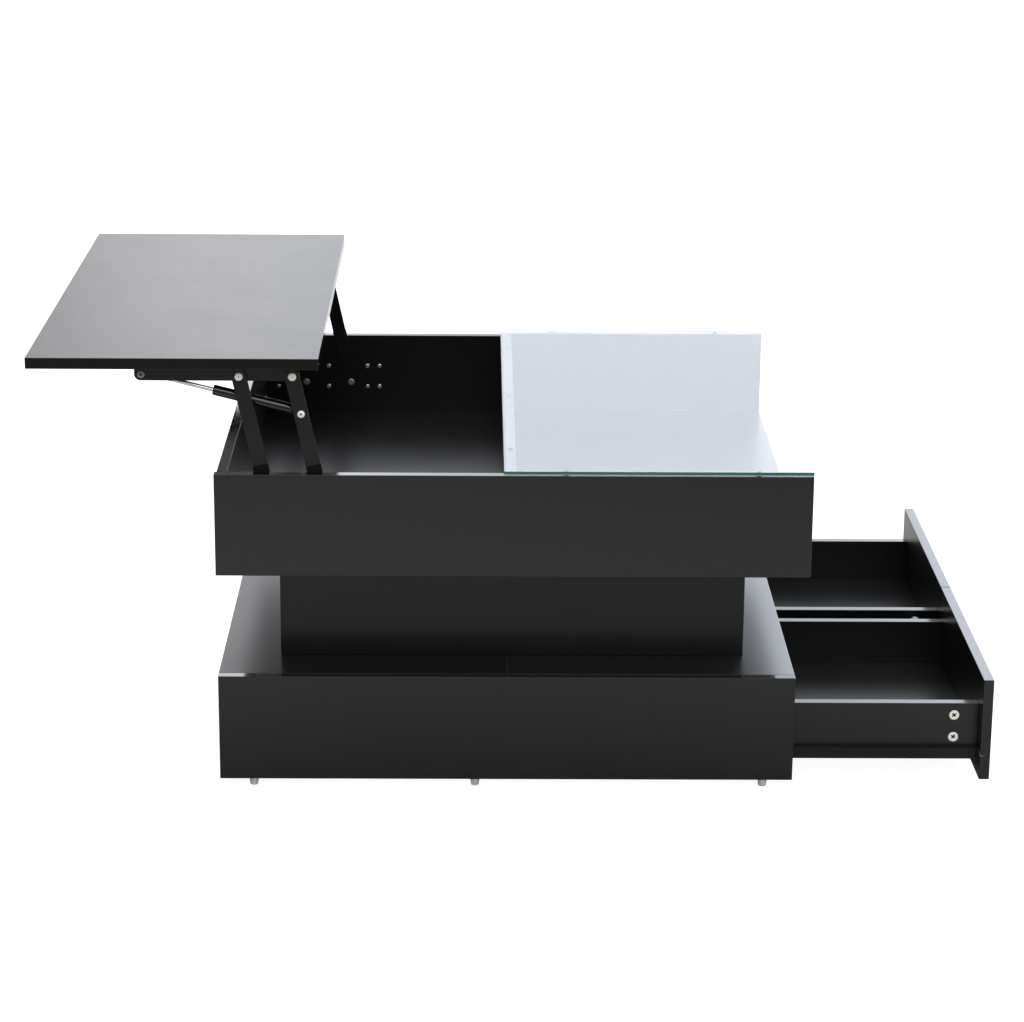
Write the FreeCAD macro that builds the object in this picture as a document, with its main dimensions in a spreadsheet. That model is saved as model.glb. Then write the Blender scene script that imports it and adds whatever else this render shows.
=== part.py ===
"""Display table: a lift-top, glass-topped tray on a pedestal and a base with two drawers.

Millimetres, +Z up, +X towards the drawers, +Y to the back.  The origin is the middle of the
base, on the floor.  The table is modelled open: lid raised, drawers pulled out.
"""
import FreeCAD
import Part
import Sketcher
import os

from FreeCAD import Placement, Rotation, Vector

# ---------------------------------------------------------------- driving dimensions, in mm
DIMENSIONS = {
    # carcass
    "table_length": 850,
    "table_depth": 850,
    "board": 15,
    "edge_round": 0.6,
    "base_height": 158,
    "pedestal_height": 153,
    "tray_height": 150,
    "tray_floor_rise": 2,
    "left_wall_inset": 3,
    "storage_length": 395.5,
    "pedestal_inset_x": 85,
    "pedestal_inset_y": 95,
    "strip_width": 3,
    # floor glides, placed from the ends of the base
    "glide_height": 11,
    "glide_top_radius": 7,
    "glide_foot_radius": 5.6,
    "glide_first": 49,
    "glide_second": 371,
    "glide_last_from_end": 43,
    # glass and its bumpers
    "glass_thickness": 5,
    "glass_corner": 2,
    "glass_lap": 3,
    "bumper_height": 1.5,
    "bumper_radius": 4.5,
    "bumper_inset": 78,
    "bumper_pitch": 303,
    # lid
    "lid_board": 16,
    "lid_glass_gap": 1.5,
    "lid_wall_gap": 1.5,
    # lift mechanism
    "arm_length": 222,
    "arm_width": 21,
    "arm_thickness": 3,
    "arm_stand_off": 4,
    "pivot_spacing": 75,
    "raised_lean": 12.3,
    "closed_angle": 17.2,
    "pivot_below_lid": 14.6,
    "base_pivot_inset": 84.4,
    "pivot_radius": 4,
    "pivot_collar_radius": 6,
    "pivot_fit": 0.1,
    "open_pivot_fit": 0.3,
    "rivet_head_radius": 6.1,
    "rivet_head_height": 1.8,
    "small_head_radius": 5.2,
    "base_rivet_head_radius": 5.6,
    "slide_gap": 0.4,
    "bracket_thickness": 2,
    "bracket_length": 186,
    "bracket_above": 35,
    "bracket_below": 20,
    "bracket_corner": 6,
    "bracket_inner_column": 64.9,
    "bracket_outer_column": 85,
    "bracket_upper_row": 26.5,
    "bracket_lower_row": 9,
    "rail_stand_off": 7.5,
    "rail_thickness": 2,
    "rail_below_pivot": 7,
    "rail_left_end": 147,
    "rail_right_end": 10,
    "rail_flange": 24,
    "rail_corner": 9,
    "rail_screw_edge": 20,
    # gas struts
    "strut_stand_off": 20,
    "strut_pivot_down": 55.6,
    "strut_anchor_left": 137.5,
    "strut_anchor_up": 2,
    "strut_pin_radius": 3,
    "strut_collar_radius": 4.5,
    "strut_eye_radius": 6.5,
    "strut_eye_width": 8,
    "strut_boss": 1.6,
    "cylinder_radius": 7.5,
    "cylinder_wall": 1.2,
    "cylinder_neck": 13,
    "cylinder_length": 128.5,
    "rod_radius": 3,
    "rod_fit": 0.1,
    "piston_radius": 6.1,
    "piston_length": 8,
    "piston_inset": 4,
    "cylinder_cap": 4,
    # drawers
    "drawer_front_gap": 1,
    "drawer_front_reveal": 2,
    "drawer_split": 2,
    "drawer_length": 380,
    "drawer_side_height": 85,
    "drawer_lift": 25,
    "drawer_overlap": 78,
    "drawer_bottom": 4,
    "drawer_bottom_rise": 13,
    "groove_depth": 6,
    "groove_fit": 0.2,
    "drawer_cam_low": 32.5,
    "drawer_cam_high": 66.5,
    "drawer_back_cam_low": 38,
    # runners
    "runner_space": 13,
    "runner_length": 350,
    "runner_gauge": 1.2,
    "runner_height": 20,
    "runner_ledge": 9,
    "runner_foot": 12,
    "roller_radius": 8,
    "roller_width": 6,
    "roller_inset": 14,
    "roller_pin_radius": 2,
    "roller_pin_head": 1.2,
    "roller_air": 0.4,
    "channel_screw_first": 45,
    "channel_screw_pitch": 220,
    "channel_screw_shift": 32,
    "angle_screw_first": 60,
    "angle_screw_pitch": 192,
    # fittings
    "cam_radius": 7.5,
    "cam_depth": 12,
    "cam_recess": 2.5,
    "cam_setback": 36,
    "bolt_radius": 3.5,
    "bolt_anchor": 10,
    "cam_from_edge": 32,
    "fitting_air": 0.1,
    "screw_radius": 1.75,
    "screw_head_radius": 3.6,
    "screw_head_height": 1.3,
    "screw_length": 12,
}

# ---------------------------------------------------------------- derived places, as formulas
LEFT = "(-(Dims.table_length - Dims.board - Dims.drawer_front_gap) / 2)"
BASE_END = f"(-{LEFT})"
RIGHT = f"({LEFT} + Dims.table_length)"
FRONT = "(-Dims.table_depth / 2)"
BACK = "(Dims.table_depth / 2)"
INNER_DEPTH = "(Dims.table_depth - 2 * Dims.board)"
INNER_FRONT = f"({FRONT} + Dims.board)"

BASE_Z = "Dims.glide_height"
BASE_TOP = f"({BASE_Z} + Dims.base_height)"
TRAY_Z = f"({BASE_TOP} + Dims.pedestal_height)"
TRAY_TOP = f"({TRAY_Z} + Dims.tray_height)"
TRAY_UNDER = f"({TRAY_Z} + Dims.tray_floor_rise)"
TRAY_FLOOR = f"({TRAY_UNDER} + Dims.board)"
UNDER_TOP = "(Dims.base_height - Dims.board)"

STORAGE_LEFT = f"({LEFT} + Dims.left_wall_inset + Dims.board)"
DIVIDER_X = f"({STORAGE_LEFT} + Dims.storage_length)"
GLASS_X = f"({DIVIDER_X} - Dims.glass_lap)"
LID_LENGTH = f"({GLASS_X} - Dims.lid_glass_gap - {LEFT})"

# The four pivots of each parallelogram: base 1 and 2 in the bracket, top 1 and 2 in the rail.
# Folded flat, the top pivots lie an arm's reach to the right of the base pivots.
BASE_PIVOT_X = f"({LEFT} + Dims.base_pivot_inset)"
BASE_PIVOT_Z = (f"({TRAY_TOP} + Dims.lid_wall_gap - Dims.pivot_below_lid"
                " - Dims.arm_length * sin(Dims.closed_angle))")
TOP_PIVOT_X = f"({BASE_PIVOT_X} - Dims.arm_length * sin(Dims.raised_lean))"
TOP_PIVOT_Z = f"({BASE_PIVOT_Z} + Dims.arm_length * cos(Dims.raised_lean))"
LID_X = (f"({TOP_PIVOT_X} - Dims.base_pivot_inset"
         " - Dims.arm_length * cos(Dims.closed_angle))")
LID_Z = f"({TOP_PIVOT_Z} + Dims.pivot_below_lid)"

STRUT_PIVOT_X = (f"({TOP_PIVOT_X} + Dims.pivot_spacing"
                 " + Dims.strut_pivot_down * sin(Dims.raised_lean))")
STRUT_PIVOT_Z = f"({TOP_PIVOT_Z} - Dims.strut_pivot_down * cos(Dims.raised_lean))"
ANCHOR_X = f"({TOP_PIVOT_X} - Dims.strut_anchor_left)"
ANCHOR_Z = f"({TOP_PIVOT_Z} + Dims.strut_anchor_up)"
STRUT_RUN = f"({STRUT_PIVOT_X} - {ANCHOR_X})"
STRUT_RISE = f"({ANCHOR_Z} - {STRUT_PIVOT_Z})"
STRUT_REACH = f"sqrt({STRUT_RUN} * {STRUT_RUN} + {STRUT_RISE} * {STRUT_RISE})"
STRUT_TILT = f"atan({STRUT_RISE} / {STRUT_RUN})"

DRAWER_Z = f"({BASE_Z} + Dims.drawer_lift)"
DRAWER_FRONT_Z = f"({BASE_Z} + Dims.drawer_front_reveal)"
DRAWER_FRONT_HEIGHT = "(Dims.base_height - 2 * Dims.drawer_front_reveal)"
DRAWER_FRONT_WIDTH = "((Dims.table_depth - Dims.drawer_split) / 2)"
OUTER_SIDE = "(Dims.board + Dims.runner_space)"
INNER_SIDE = "(Dims.table_depth / 2 - Dims.board / 2 - Dims.runner_space)"
DRAWER_WIDTH = f"({INNER_SIDE} - {OUTER_SIDE})"
# The channel reaches from under its fixed roller to over the angle's ledge.
CHANNEL_MIDDLE = (f"({DRAWER_Z} + Dims.runner_height - 3 * Dims.runner_gauge / 2"
                  " - Dims.roller_air / 4 - Dims.roller_radius)")

CAM_HOLE = "(Dims.cam_radius + Dims.fitting_air)"
BOLT_HOLE = "(Dims.bolt_radius + Dims.fitting_air)"
SCREW_HOLE = "(Dims.screw_radius + Dims.fitting_air)"
FIXED_PIN_HOLE = "(Dims.pivot_radius + Dims.fitting_air)"
STRUT_PIN_HOLE = "(Dims.strut_pin_radius + Dims.fitting_air)"

# Shares of a radius: the flat crown of a head, and the width of a cross recess to its arm.
CROWN = 0.7
RECESS_WIDTH = 0.3

doc = FreeCAD.newDocument("display_table")
sheet = doc.addObject("Spreadsheet::Sheet", "Dims")
nodes = {}
corners = {}
sizes = {}


def fill_sheet():
    """Write every driving dimension to the sheet, under its own alias."""
    for row, (alias, size) in enumerate(DIMENSIONS.items(), start=1):
        sheet.set(f"A{row}", alias)
        sheet.set(f"B{row}", str(size))
        sheet.setAlias(f"B{row}", alias)
    doc.recompute()


def number(formula):
    """The present value of a formula of the sheet."""
    return float(sheet.evalExpression(str(formula)))


def keep(label, thing):
    """Register a finished object under the name of its node."""
    thing.Label = label
    nodes[label] = thing
    return thing


# ---------------------------------------------------------------- sketches and features
def sketch_on(body, plane, height="0"):
    """An empty sketch on one of the body's own origin planes, raised along the normal."""
    sketch = body.newObject("Sketcher::SketchObject", body.Name + "_sketch")
    origin = [item for item in body.Origin.OriginFeatures if item.Role == plane][0]
    sketch.AttachmentSupport = [(origin, "")]
    sketch.MapMode = "FlatFace"
    sketch.setExpression("AttachmentOffset.Base.z", height)
    return sketch


def bind(sketch, constraint, name, formula):
    """Add a dimensional constraint and drive it from the sheet."""
    index = sketch.addConstraint(constraint)
    sketch.renameConstraint(index, name)
    sketch.setExpression(f"Constraints.{name}", formula)


def polygon(sketch, points):
    """A closed outline whose corners are each held by two formulas (0 means on the axis)."""
    spots = [Vector(number(a), number(b), 0) for a, b in points]
    for start, end in zip(spots, spots[1:] + spots[:1]):
        sketch.addGeometry(Part.LineSegment(start, end))
    for index, (a, b) in enumerate(points):
        before = (index - 1) % len(points)
        sketch.addConstraint(Sketcher.Constraint("Coincident", before, 2, index, 1))
        if a == "0":
            sketch.addConstraint(Sketcher.Constraint("PointOnObject", index, 1, -2))
        else:
            length = Sketcher.Constraint("DistanceX", -1, 1, index, 1, number(a))
            bind(sketch, length, f"across_{index}", a)
        if b == "0":
            sketch.addConstraint(Sketcher.Constraint("PointOnObject", index, 1, -1))
        else:
            length = Sketcher.Constraint("DistanceY", -1, 1, index, 1, number(b))
            bind(sketch, length, f"up_{index}", b)


def circles(sketch, centres, radius):
    """Equal circles, each centre held by two formulas."""
    for a, b in centres:
        spot = Vector(number(a), number(b), 0)
        circle = sketch.addGeometry(Part.Circle(spot, Vector(0, 0, 1), number(radius)))
        across = Sketcher.Constraint("DistanceX", -1, 1, circle, 3, spot.x)
        up = Sketcher.Constraint("DistanceY", -1, 1, circle, 3, spot.y)
        bind(sketch, across, f"centre_across_{circle}", a)
        bind(sketch, up, f"centre_up_{circle}", b)
        bind(sketch, Sketcher.Constraint("Radius", circle, number(radius)), f"size_{circle}", radius)


def pad(body, sketch, length, centred=False):
    """Extrude a sketch."""
    feature = body.newObject("PartDesign::Pad", body.Name + "_pad")
    feature.Profile = sketch
    feature.setExpression("Length", length)
    feature.Midplane = centred
    doc.recompute()
    return feature


def pocket(body, sketch, depth):
    """Cut a sketch that lies on a face to the given depth; it must remove material."""
    before = body.Shape.Volume
    feature = body.newObject("PartDesign::Pocket", body.Name + "_pocket")
    feature.Profile = sketch
    feature.Midplane = True
    feature.setExpression("Length", f"2 * ({depth})")
    doc.recompute()
    if body.Shape.Volume >= before:
        raise RuntimeError(f"{feature.Name} of {body.Label} cuts nothing")


def fillet(body, base, radius, chosen=None):
    """Round the chosen edges of the last feature, or all of them."""
    feature = body.newObject("PartDesign::Fillet", body.Name + "_round")
    feature.Base = (base, chosen or ["Edge1"])
    feature.UseAllEdges = chosen is None
    feature.setExpression("Radius", radius)
    doc.recompute()
    return feature


def edges_along(shape, direction):
    """Names of a shape's straight edges that run along a direction."""
    names = []
    for index, edge in enumerate(shape.Edges, start=1):
        first, last = edge.Vertexes[0].Point, edge.Vertexes[-1].Point
        if (last - first).cross(direction).Length < 1e-6 and edge.Length > 1e-6:
            names.append(f"Edge{index}")
    return names


def new_body(label):
    """An empty body that will become one node."""
    return keep(label, doc.addObject("PartDesign::Body", label))


def place(thing, x, y, z):
    """Drive an object's place from the sheet."""
    thing.setExpression("Placement.Base.x", x)
    thing.setExpression("Placement.Base.y", y)
    thing.setExpression("Placement.Base.z", z)


# ---------------------------------------------------------------- boards
def board(label, corner, size):
    """A flat board with eased edges; corner is its lowest corner, size its X, Y and Z."""
    body = new_body(label)
    outline = sketch_on(body, "XY_Plane")
    polygon(outline, [("0", "0"), (size[0], "0"), (size[0], size[1]), ("0", size[1])])
    slab = pad(body, outline, size[2])
    fillet(body, slab, "Dims.edge_round")
    place(body, *corner)
    corners[label] = corner
    sizes[label] = size
    return body


def face_plane(label, face):
    """The sketch plane and height of one face of a board."""
    width, depth, height = sizes[label]
    return {
        "left": ("YZ_Plane", "0"),
        "right": ("YZ_Plane", width),
        "front": ("XZ_Plane", "0"),
        "back": ("XZ_Plane", f"-({depth})"),
        "bottom": ("XY_Plane", "0"),
        "top": ("XY_Plane", height),
    }[face]


def drill(label, face, centres, radius, depth):
    """Blind holes in a face of a board; centres are measured from the board's corner."""
    body = nodes[label]
    plane, height = face_plane(label, face)
    sketch = sketch_on(body, plane, height)
    circles(sketch, centres, radius)
    pocket(body, sketch, depth)


def groove(label, face, start, end, depth):
    """A rectangular groove in a face, between two corners measured from the board's corner."""
    body = nodes[label]
    plane, height = face_plane(label, face)
    sketch = sketch_on(body, plane, height)
    polygon(sketch, [start, (end[0], start[1]), end, (start[0], end[1])])
    pocket(body, sketch, depth)


# ---------------------------------------------------------------- small turned pieces
def turned(start, axis, steps):
    """A round solid built up along an axis from (length, first radius, last radius) steps."""
    corners_rz, height = [(0, 0)], 0
    for length, first, last in steps:
        corners_rz += [(first, height), (last, height + length)]
        height += length
    corners_rz.append((0, height))
    points = []
    for radius, level in corners_rz:
        point = Vector(radius, 0, level)
        if not points or (point - points[-1]).Length > 1e-7:
            points.append(point)
    outline = Part.makePolygon(points + points[:1])
    solid = Part.Face(outline).revolve(Vector(0, 0, 0), Vector(0, 0, 1), 360)
    solid.Placement = Placement(start, Rotation(Vector(0, 0, 1), axis))
    return solid


def rod(start, axis, radius, length):
    """A plain round bar."""
    return Part.makeCylinder(radius, length, start, axis)


def group(label, solids):
    """One node that holds several separate, identical pieces."""
    feature = keep(label, doc.addObject("Part::Feature", label))
    feature.Shape = Part.Compound(solids)
    return feature


def head(radius, height):
    """Steps of a rivet's or screw's head, from its crown down to its seat."""
    return [(height / 2, radius * CROWN, radius), (height / 2, radius, radius)]


def formed_head(radius, height):
    """Steps of the head at the far end of a rivet, from its seat to its crown."""
    return [(height / 2, radius, radius), (height / 2, radius, radius * CROWN)]


def cross_recess(mouth, axis, arm, depth):
    """The cross-shaped recess of a driver, to be cut in at the mouth along the axis."""
    width = arm * RECESS_WIDTH
    bar = Part.makeBox(2 * arm, width, depth, Vector(-arm, -width / 2, 0))
    cross = bar.fuse(bar.rotated(Vector(0, 0, 0), Vector(0, 0, 1), 90))
    cross.Placement = Placement(mouth, Rotation(Vector(0, 0, 1), axis))
    return cross


def pan_screw(seat, axis):
    """A pan-head screw: seat is the point under its head, axis the way it is driven."""
    radius, height = number("Dims.screw_head_radius"), number("Dims.screw_head_height")
    shank, length = number("Dims.screw_radius"), number("Dims.screw_length")
    point = [(length - shank, shank, shank), (shank, shank, 0)]
    crown = seat - axis * height
    solid = turned(crown, axis, head(radius, height) + point)
    return solid.cut(cross_recess(crown, axis, radius * CROWN / 2, height / 2))


def cam_lock(mouth, axis):
    """A round cam with a cross recess; mouth is the centre of its face, axis points in."""
    radius, depth = number("Dims.cam_radius"), number("Dims.cam_depth")
    rim = number("Dims.edge_round")
    solid = turned(mouth, axis, [(rim, radius - rim, radius), (depth - rim, radius, radius)])
    return solid.cut(cross_recess(mouth, axis, radius / 2, number("Dims.cam_recess")))


# ---------------------------------------------------------------- knock-down joints
cam_solids = {}
bolt_solids = {}
channel_solids = []
carcass_screws = []


def add_cam(key, mouth, axis):
    """Keep one cam for the group named by key."""
    cam_solids.setdefault(key, []).append(cam_lock(mouth, axis))


def add_bolt(key, start, axis):
    """Keep one bolt for the group named by key; start is its anchored end."""
    length = number("Dims.bolt_anchor + Dims.cam_setback - Dims.cam_radius - Dims.fitting_air")
    bolt_solids.setdefault(key, []).append(rod(start, axis, number("Dims.bolt_radius"), length))


def cam_joint(key, panel, cam_face, heights, front_wall, back_wall):
    """Cams and bolts that pull both ends of a crosswise panel against the walls it spans."""
    x, y, z = corners[panel]
    depth = sizes[panel][1]
    middle = "Dims.board / 2"
    cam_rows = ("Dims.cam_setback", f"({depth} - Dims.cam_setback)")
    drill(panel, cam_face, [(row, height) for row in cam_rows for height in heights],
          CAM_HOLE, "Dims.cam_depth")
    for end in ("front", "back"):
        drill(panel, end, [(middle, height) for height in heights], BOLT_HOLE,
              "Dims.cam_setback")
    for wall, inner in ((front_wall, "back"), (back_wall, "front")):
        wall_x, _, wall_z = corners[wall]
        holes = [(f"({x} + {middle} - {wall_x})", f"({z} + {height} - {wall_z})")
                 for height in heights]
        drill(wall, inner, holes, BOLT_HOLE, "Dims.bolt_anchor")
    face_x = number(x if cam_face == "left" else f"{x} + Dims.board")
    inward = Vector(1 if cam_face == "left" else -1, 0, 0)
    setback, anchor = number("Dims.cam_setback"), number("Dims.bolt_anchor")
    for end_y, into in ((number(y), 1), (number(f"{y} + {depth}"), -1)):
        for height in heights:
            level = number(f"{z} + {height}")
            add_cam(key, Vector(face_x, end_y + into * setback, level), inward)
            start = Vector(number(f"{x} + {middle}"), end_y - into * anchor, level)
            add_bolt(key, start, Vector(0, into, 0))


# ---------------------------------------------------------------- base, pedestal and tray
def base():
    """Base box: long front and back, left end, cross panel, partition and two-piece top."""
    length = f"(2 * {BASE_END})"
    for label, y in (("base_front_panel", FRONT), ("base_back_panel", f"({BACK} - Dims.board)")):
        board(label, (LEFT, y, BASE_Z), (length, "Dims.board", "Dims.base_height"))
    crosswise = ("Dims.board", INNER_DEPTH, UNDER_TOP)
    board("base_left_panel", (LEFT, INNER_FRONT, BASE_Z), crosswise)
    board("base_cross_panel", ("(-Dims.board / 2)", INNER_FRONT, BASE_Z), crosswise)
    board("base_partition", ("(Dims.board / 2)", "(-Dims.board / 2)", BASE_Z),
          (f"({BASE_END} - Dims.board / 2)", "Dims.board", UNDER_TOP))
    top_z = f"({BASE_TOP} - Dims.board)"
    half_top = f"({BASE_END} - Dims.strip_width / 2)"
    top_size = (half_top, INNER_DEPTH, "Dims.board")
    board("base_top_left", (LEFT, INNER_FRONT, top_z), top_size)
    board("base_top_right", ("(Dims.strip_width / 2)", INNER_FRONT, top_z), top_size)
    strip = new_body("base_top_joint_strip")
    outline = sketch_on(strip, "XY_Plane")
    width = "Dims.strip_width"
    polygon(outline, [("0", "0"), (width, "0"), (width, INNER_DEPTH), ("0", INNER_DEPTH)])
    pad(strip, outline, "Dims.board")
    place(strip, "(-Dims.strip_width / 2)", INNER_FRONT, top_z)
    heights = ("Dims.cam_from_edge", f"({UNDER_TOP} - Dims.cam_from_edge)")
    for panel, face in (("base_left_panel", "right"), ("base_cross_panel", "left")):
        cam_joint("carcass", panel, face, heights, "base_front_panel", "base_back_panel")


def pedestal():
    """Four-board pedestal between base and tray, joined by cams on its inner faces."""
    x = f"({LEFT} + Dims.pedestal_inset_x)"
    y = f"({FRONT} + Dims.pedestal_inset_y)"
    length = "(Dims.table_length - 2 * Dims.pedestal_inset_x)"
    depth = "(Dims.table_depth - 2 * Dims.pedestal_inset_y)"
    height = f"({TRAY_UNDER} - {BASE_TOP})"
    far_y = f"({y} + {depth} - Dims.board)"
    between = f"({depth} - 2 * Dims.board)"
    far_x = f"({x} + {length} - Dims.board)"
    board("pedestal_front_panel", (x, y, BASE_TOP), (length, "Dims.board", height))
    board("pedestal_back_panel", (x, far_y, BASE_TOP), (length, "Dims.board", height))
    end_y = f"({y} + Dims.board)"
    board("pedestal_left_panel", (x, end_y, BASE_TOP), ("Dims.board", between, height))
    board("pedestal_right_panel", (far_x, end_y, BASE_TOP), ("Dims.board", between, height))
    heights = ("Dims.cam_from_edge", f"({height} - Dims.cam_from_edge)")
    for panel, face in (("pedestal_left_panel", "right"), ("pedestal_right_panel", "left")):
        cam_joint("carcass", panel, face, heights, "pedestal_front_panel",
                  "pedestal_back_panel")


def tray():
    """Tray: bottom, front, back, left end and divider; its right end is open."""
    for label, y in (("tray_front_panel", FRONT), ("tray_back_panel", f"({BACK} - Dims.board)")):
        board(label, (LEFT, y, TRAY_Z), ("Dims.table_length", "Dims.board", "Dims.tray_height"))
    left = f"({LEFT} + Dims.left_wall_inset)"
    board("tray_left_panel", (left, INNER_FRONT, TRAY_Z),
          ("Dims.board", INNER_DEPTH, "Dims.tray_height"))
    board("tray_bottom_panel", (STORAGE_LEFT, INNER_FRONT, TRAY_UNDER),
          (f"({RIGHT} - {STORAGE_LEFT})", INNER_DEPTH, "Dims.board"))
    wall_height = f"({TRAY_TOP} - {TRAY_FLOOR})"
    board("tray_divider", (DIVIDER_X, INNER_FRONT, TRAY_FLOOR),
          ("Dims.board", INNER_DEPTH, wall_height))
    low, high = "Dims.cam_from_edge", f"({wall_height} - Dims.cam_from_edge)"
    rise = f"({TRAY_FLOOR} - {TRAY_Z})"
    cam_joint("carcass", "tray_divider", "left", (low, high), "tray_front_panel",
              "tray_back_panel")
    cam_joint("carcass", "tray_left_panel", "right", (f"({rise} + {low})", f"({rise} + {high})"),
              "tray_front_panel", "tray_back_panel")


def floor_glides():
    """Tapered plastic glides under the long panels, and one under the cross panel."""
    top, foot = number("Dims.glide_top_radius"), number("Dims.glide_foot_radius")
    height, rim = number("Dims.glide_height"), number("Dims.edge_round")
    steps = [(rim, foot - rim, foot), (height - rim, foot, top)]
    row = number("Dims.table_depth / 2 - Dims.board / 2")
    spots = [Vector(0, 0, 0)]
    for place_x in (f"{LEFT} + Dims.glide_first", f"{LEFT} + Dims.glide_second",
                    f"{BASE_END} - Dims.glide_last_from_end"):
        x = number(place_x)
        spots += [Vector(x, -row, 0), Vector(x, row, 0)]
    group("floor_glides", [turned(spot, Vector(0, 0, 1), steps) for spot in spots])


def glass():
    """Glass top with eased corners, lying on clear bumpers."""
    length = f"({RIGHT} - {GLASS_X})"
    body = new_body("glass_top")
    outline = sketch_on(body, "XY_Plane")
    depth = "Dims.table_depth"
    polygon(outline, [("0", "0"), (length, "0"), (length, depth), ("0", depth)])
    slab = pad(body, outline, "Dims.glass_thickness")
    corner = fillet(body, slab, "Dims.glass_corner", edges_along(slab.Shape, Vector(0, 0, 1)))
    fillet(body, corner, "Dims.edge_round",
           [f"Edge{i}" for i, edge in enumerate(corner.Shape.Edges, start=1)
            if abs(edge.Vertexes[0].Z - edge.Vertexes[-1].Z) < 1e-6])
    place(body, GLASS_X, FRONT, f"({TRAY_TOP} + Dims.bumper_height)")
    radius, height = number("Dims.bumper_radius"), number("Dims.bumper_height")
    row = number("Dims.table_depth / 2 - Dims.board / 2")
    divider = number(f"{DIVIDER_X} + Dims.board / 2")
    level = number(TRAY_TOP)
    spots = [Vector(divider, step * number("Dims.bumper_pitch"), level) for step in (-1, 0, 1)]
    for x in (divider + number("Dims.bumper_inset"), number(f"{RIGHT} - Dims.bumper_inset")):
        spots += [Vector(x, -row, level), Vector(x, row, level)]
    group("glass_bumpers", [turned(spot, Vector(0, 0, 1), formed_head(radius, height))
                            for spot in spots])


# ---------------------------------------------------------------- lift mechanism
def stand_off(side, distance, thickness="0"):
    """The middle Y of a plate that stands off the long wall on one side (-1 front, 1 back)."""
    return f"({side} * ({INNER_DEPTH} / 2 - {distance} - ({thickness}) / 2))"


def arm(label, side, pivot_x, holes):
    """A flat lift arm: a stadium outline about its two pivots, turned to the raised lean."""
    body = doc.addObject("PartDesign::Body", label)
    outline = sketch_on(body, "XZ_Plane")
    half, length = number("Dims.arm_width / 2"), number("Dims.arm_length")
    up, low, high = Vector(0, 0, 1), Vector(0, 0, 0), Vector(0, length, 0)
    right = Part.LineSegment(Vector(half, 0, 0), Vector(half, length, 0))
    left = Part.LineSegment(Vector(-half, length, 0), Vector(-half, 0, 0))
    lower = Part.ArcOfCircle(Part.Circle(low, up, half), 3.141592653589793, 6.283185307179586)
    upper = Part.ArcOfCircle(Part.Circle(high, up, half), 0, 3.141592653589793)
    outline.addGeometry([right, upper, left, lower])
    for first, ends in ((0, (2, 1, 1)), (1, (2, 2, 1)), (2, (2, 3, 1)), (3, (2, 0, 1))):
        outline.addConstraint(Sketcher.Constraint("Tangent", first, ends[0], ends[1], ends[2]))
    outline.addConstraint(Sketcher.Constraint("Coincident", 3, 3, -1, 1))
    outline.addConstraint(Sketcher.Constraint("PointOnObject", 1, 3, -2))
    outline.addConstraint(Sketcher.Constraint("Vertical", 0))
    bind(outline, Sketcher.Constraint("DistanceY", 3, 3, 1, 3, length), "length",
         "Dims.arm_length")
    bind(outline, Sketcher.Constraint("Radius", 3, half), "half_width", "Dims.arm_width / 2")
    pad(body, outline, "Dims.arm_thickness", centred=True)
    for height, radius in holes:
        sketch = sketch_on(body, "XZ_Plane")
        hole = sketch.addGeometry(Part.Circle(Vector(0, number(height), 0), up, number(radius)))
        sketch.addConstraint(Sketcher.Constraint("PointOnObject", hole, 3, -2))
        if height == "0":
            sketch.addConstraint(Sketcher.Constraint("PointOnObject", hole, 3, -1))
        else:
            rise = Sketcher.Constraint("DistanceY", -1, 1, hole, 3, number(height))
            bind(sketch, rise, "height", height)
        bind(sketch, Sketcher.Constraint("Radius", hole, number(radius)), "radius", radius)
        pocket(body, sketch, "Dims.arm_thickness")
    body.Placement = Placement(Vector(0, 0, 0), Rotation(Vector(0, 1, 0), -1))
    body.setExpression("Placement.Rotation.Angle", "-Dims.raised_lean")
    place(body, pivot_x, stand_off(side, "Dims.arm_stand_off", "Dims.arm_thickness"),
          BASE_PIVOT_Z)
    return body


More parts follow.
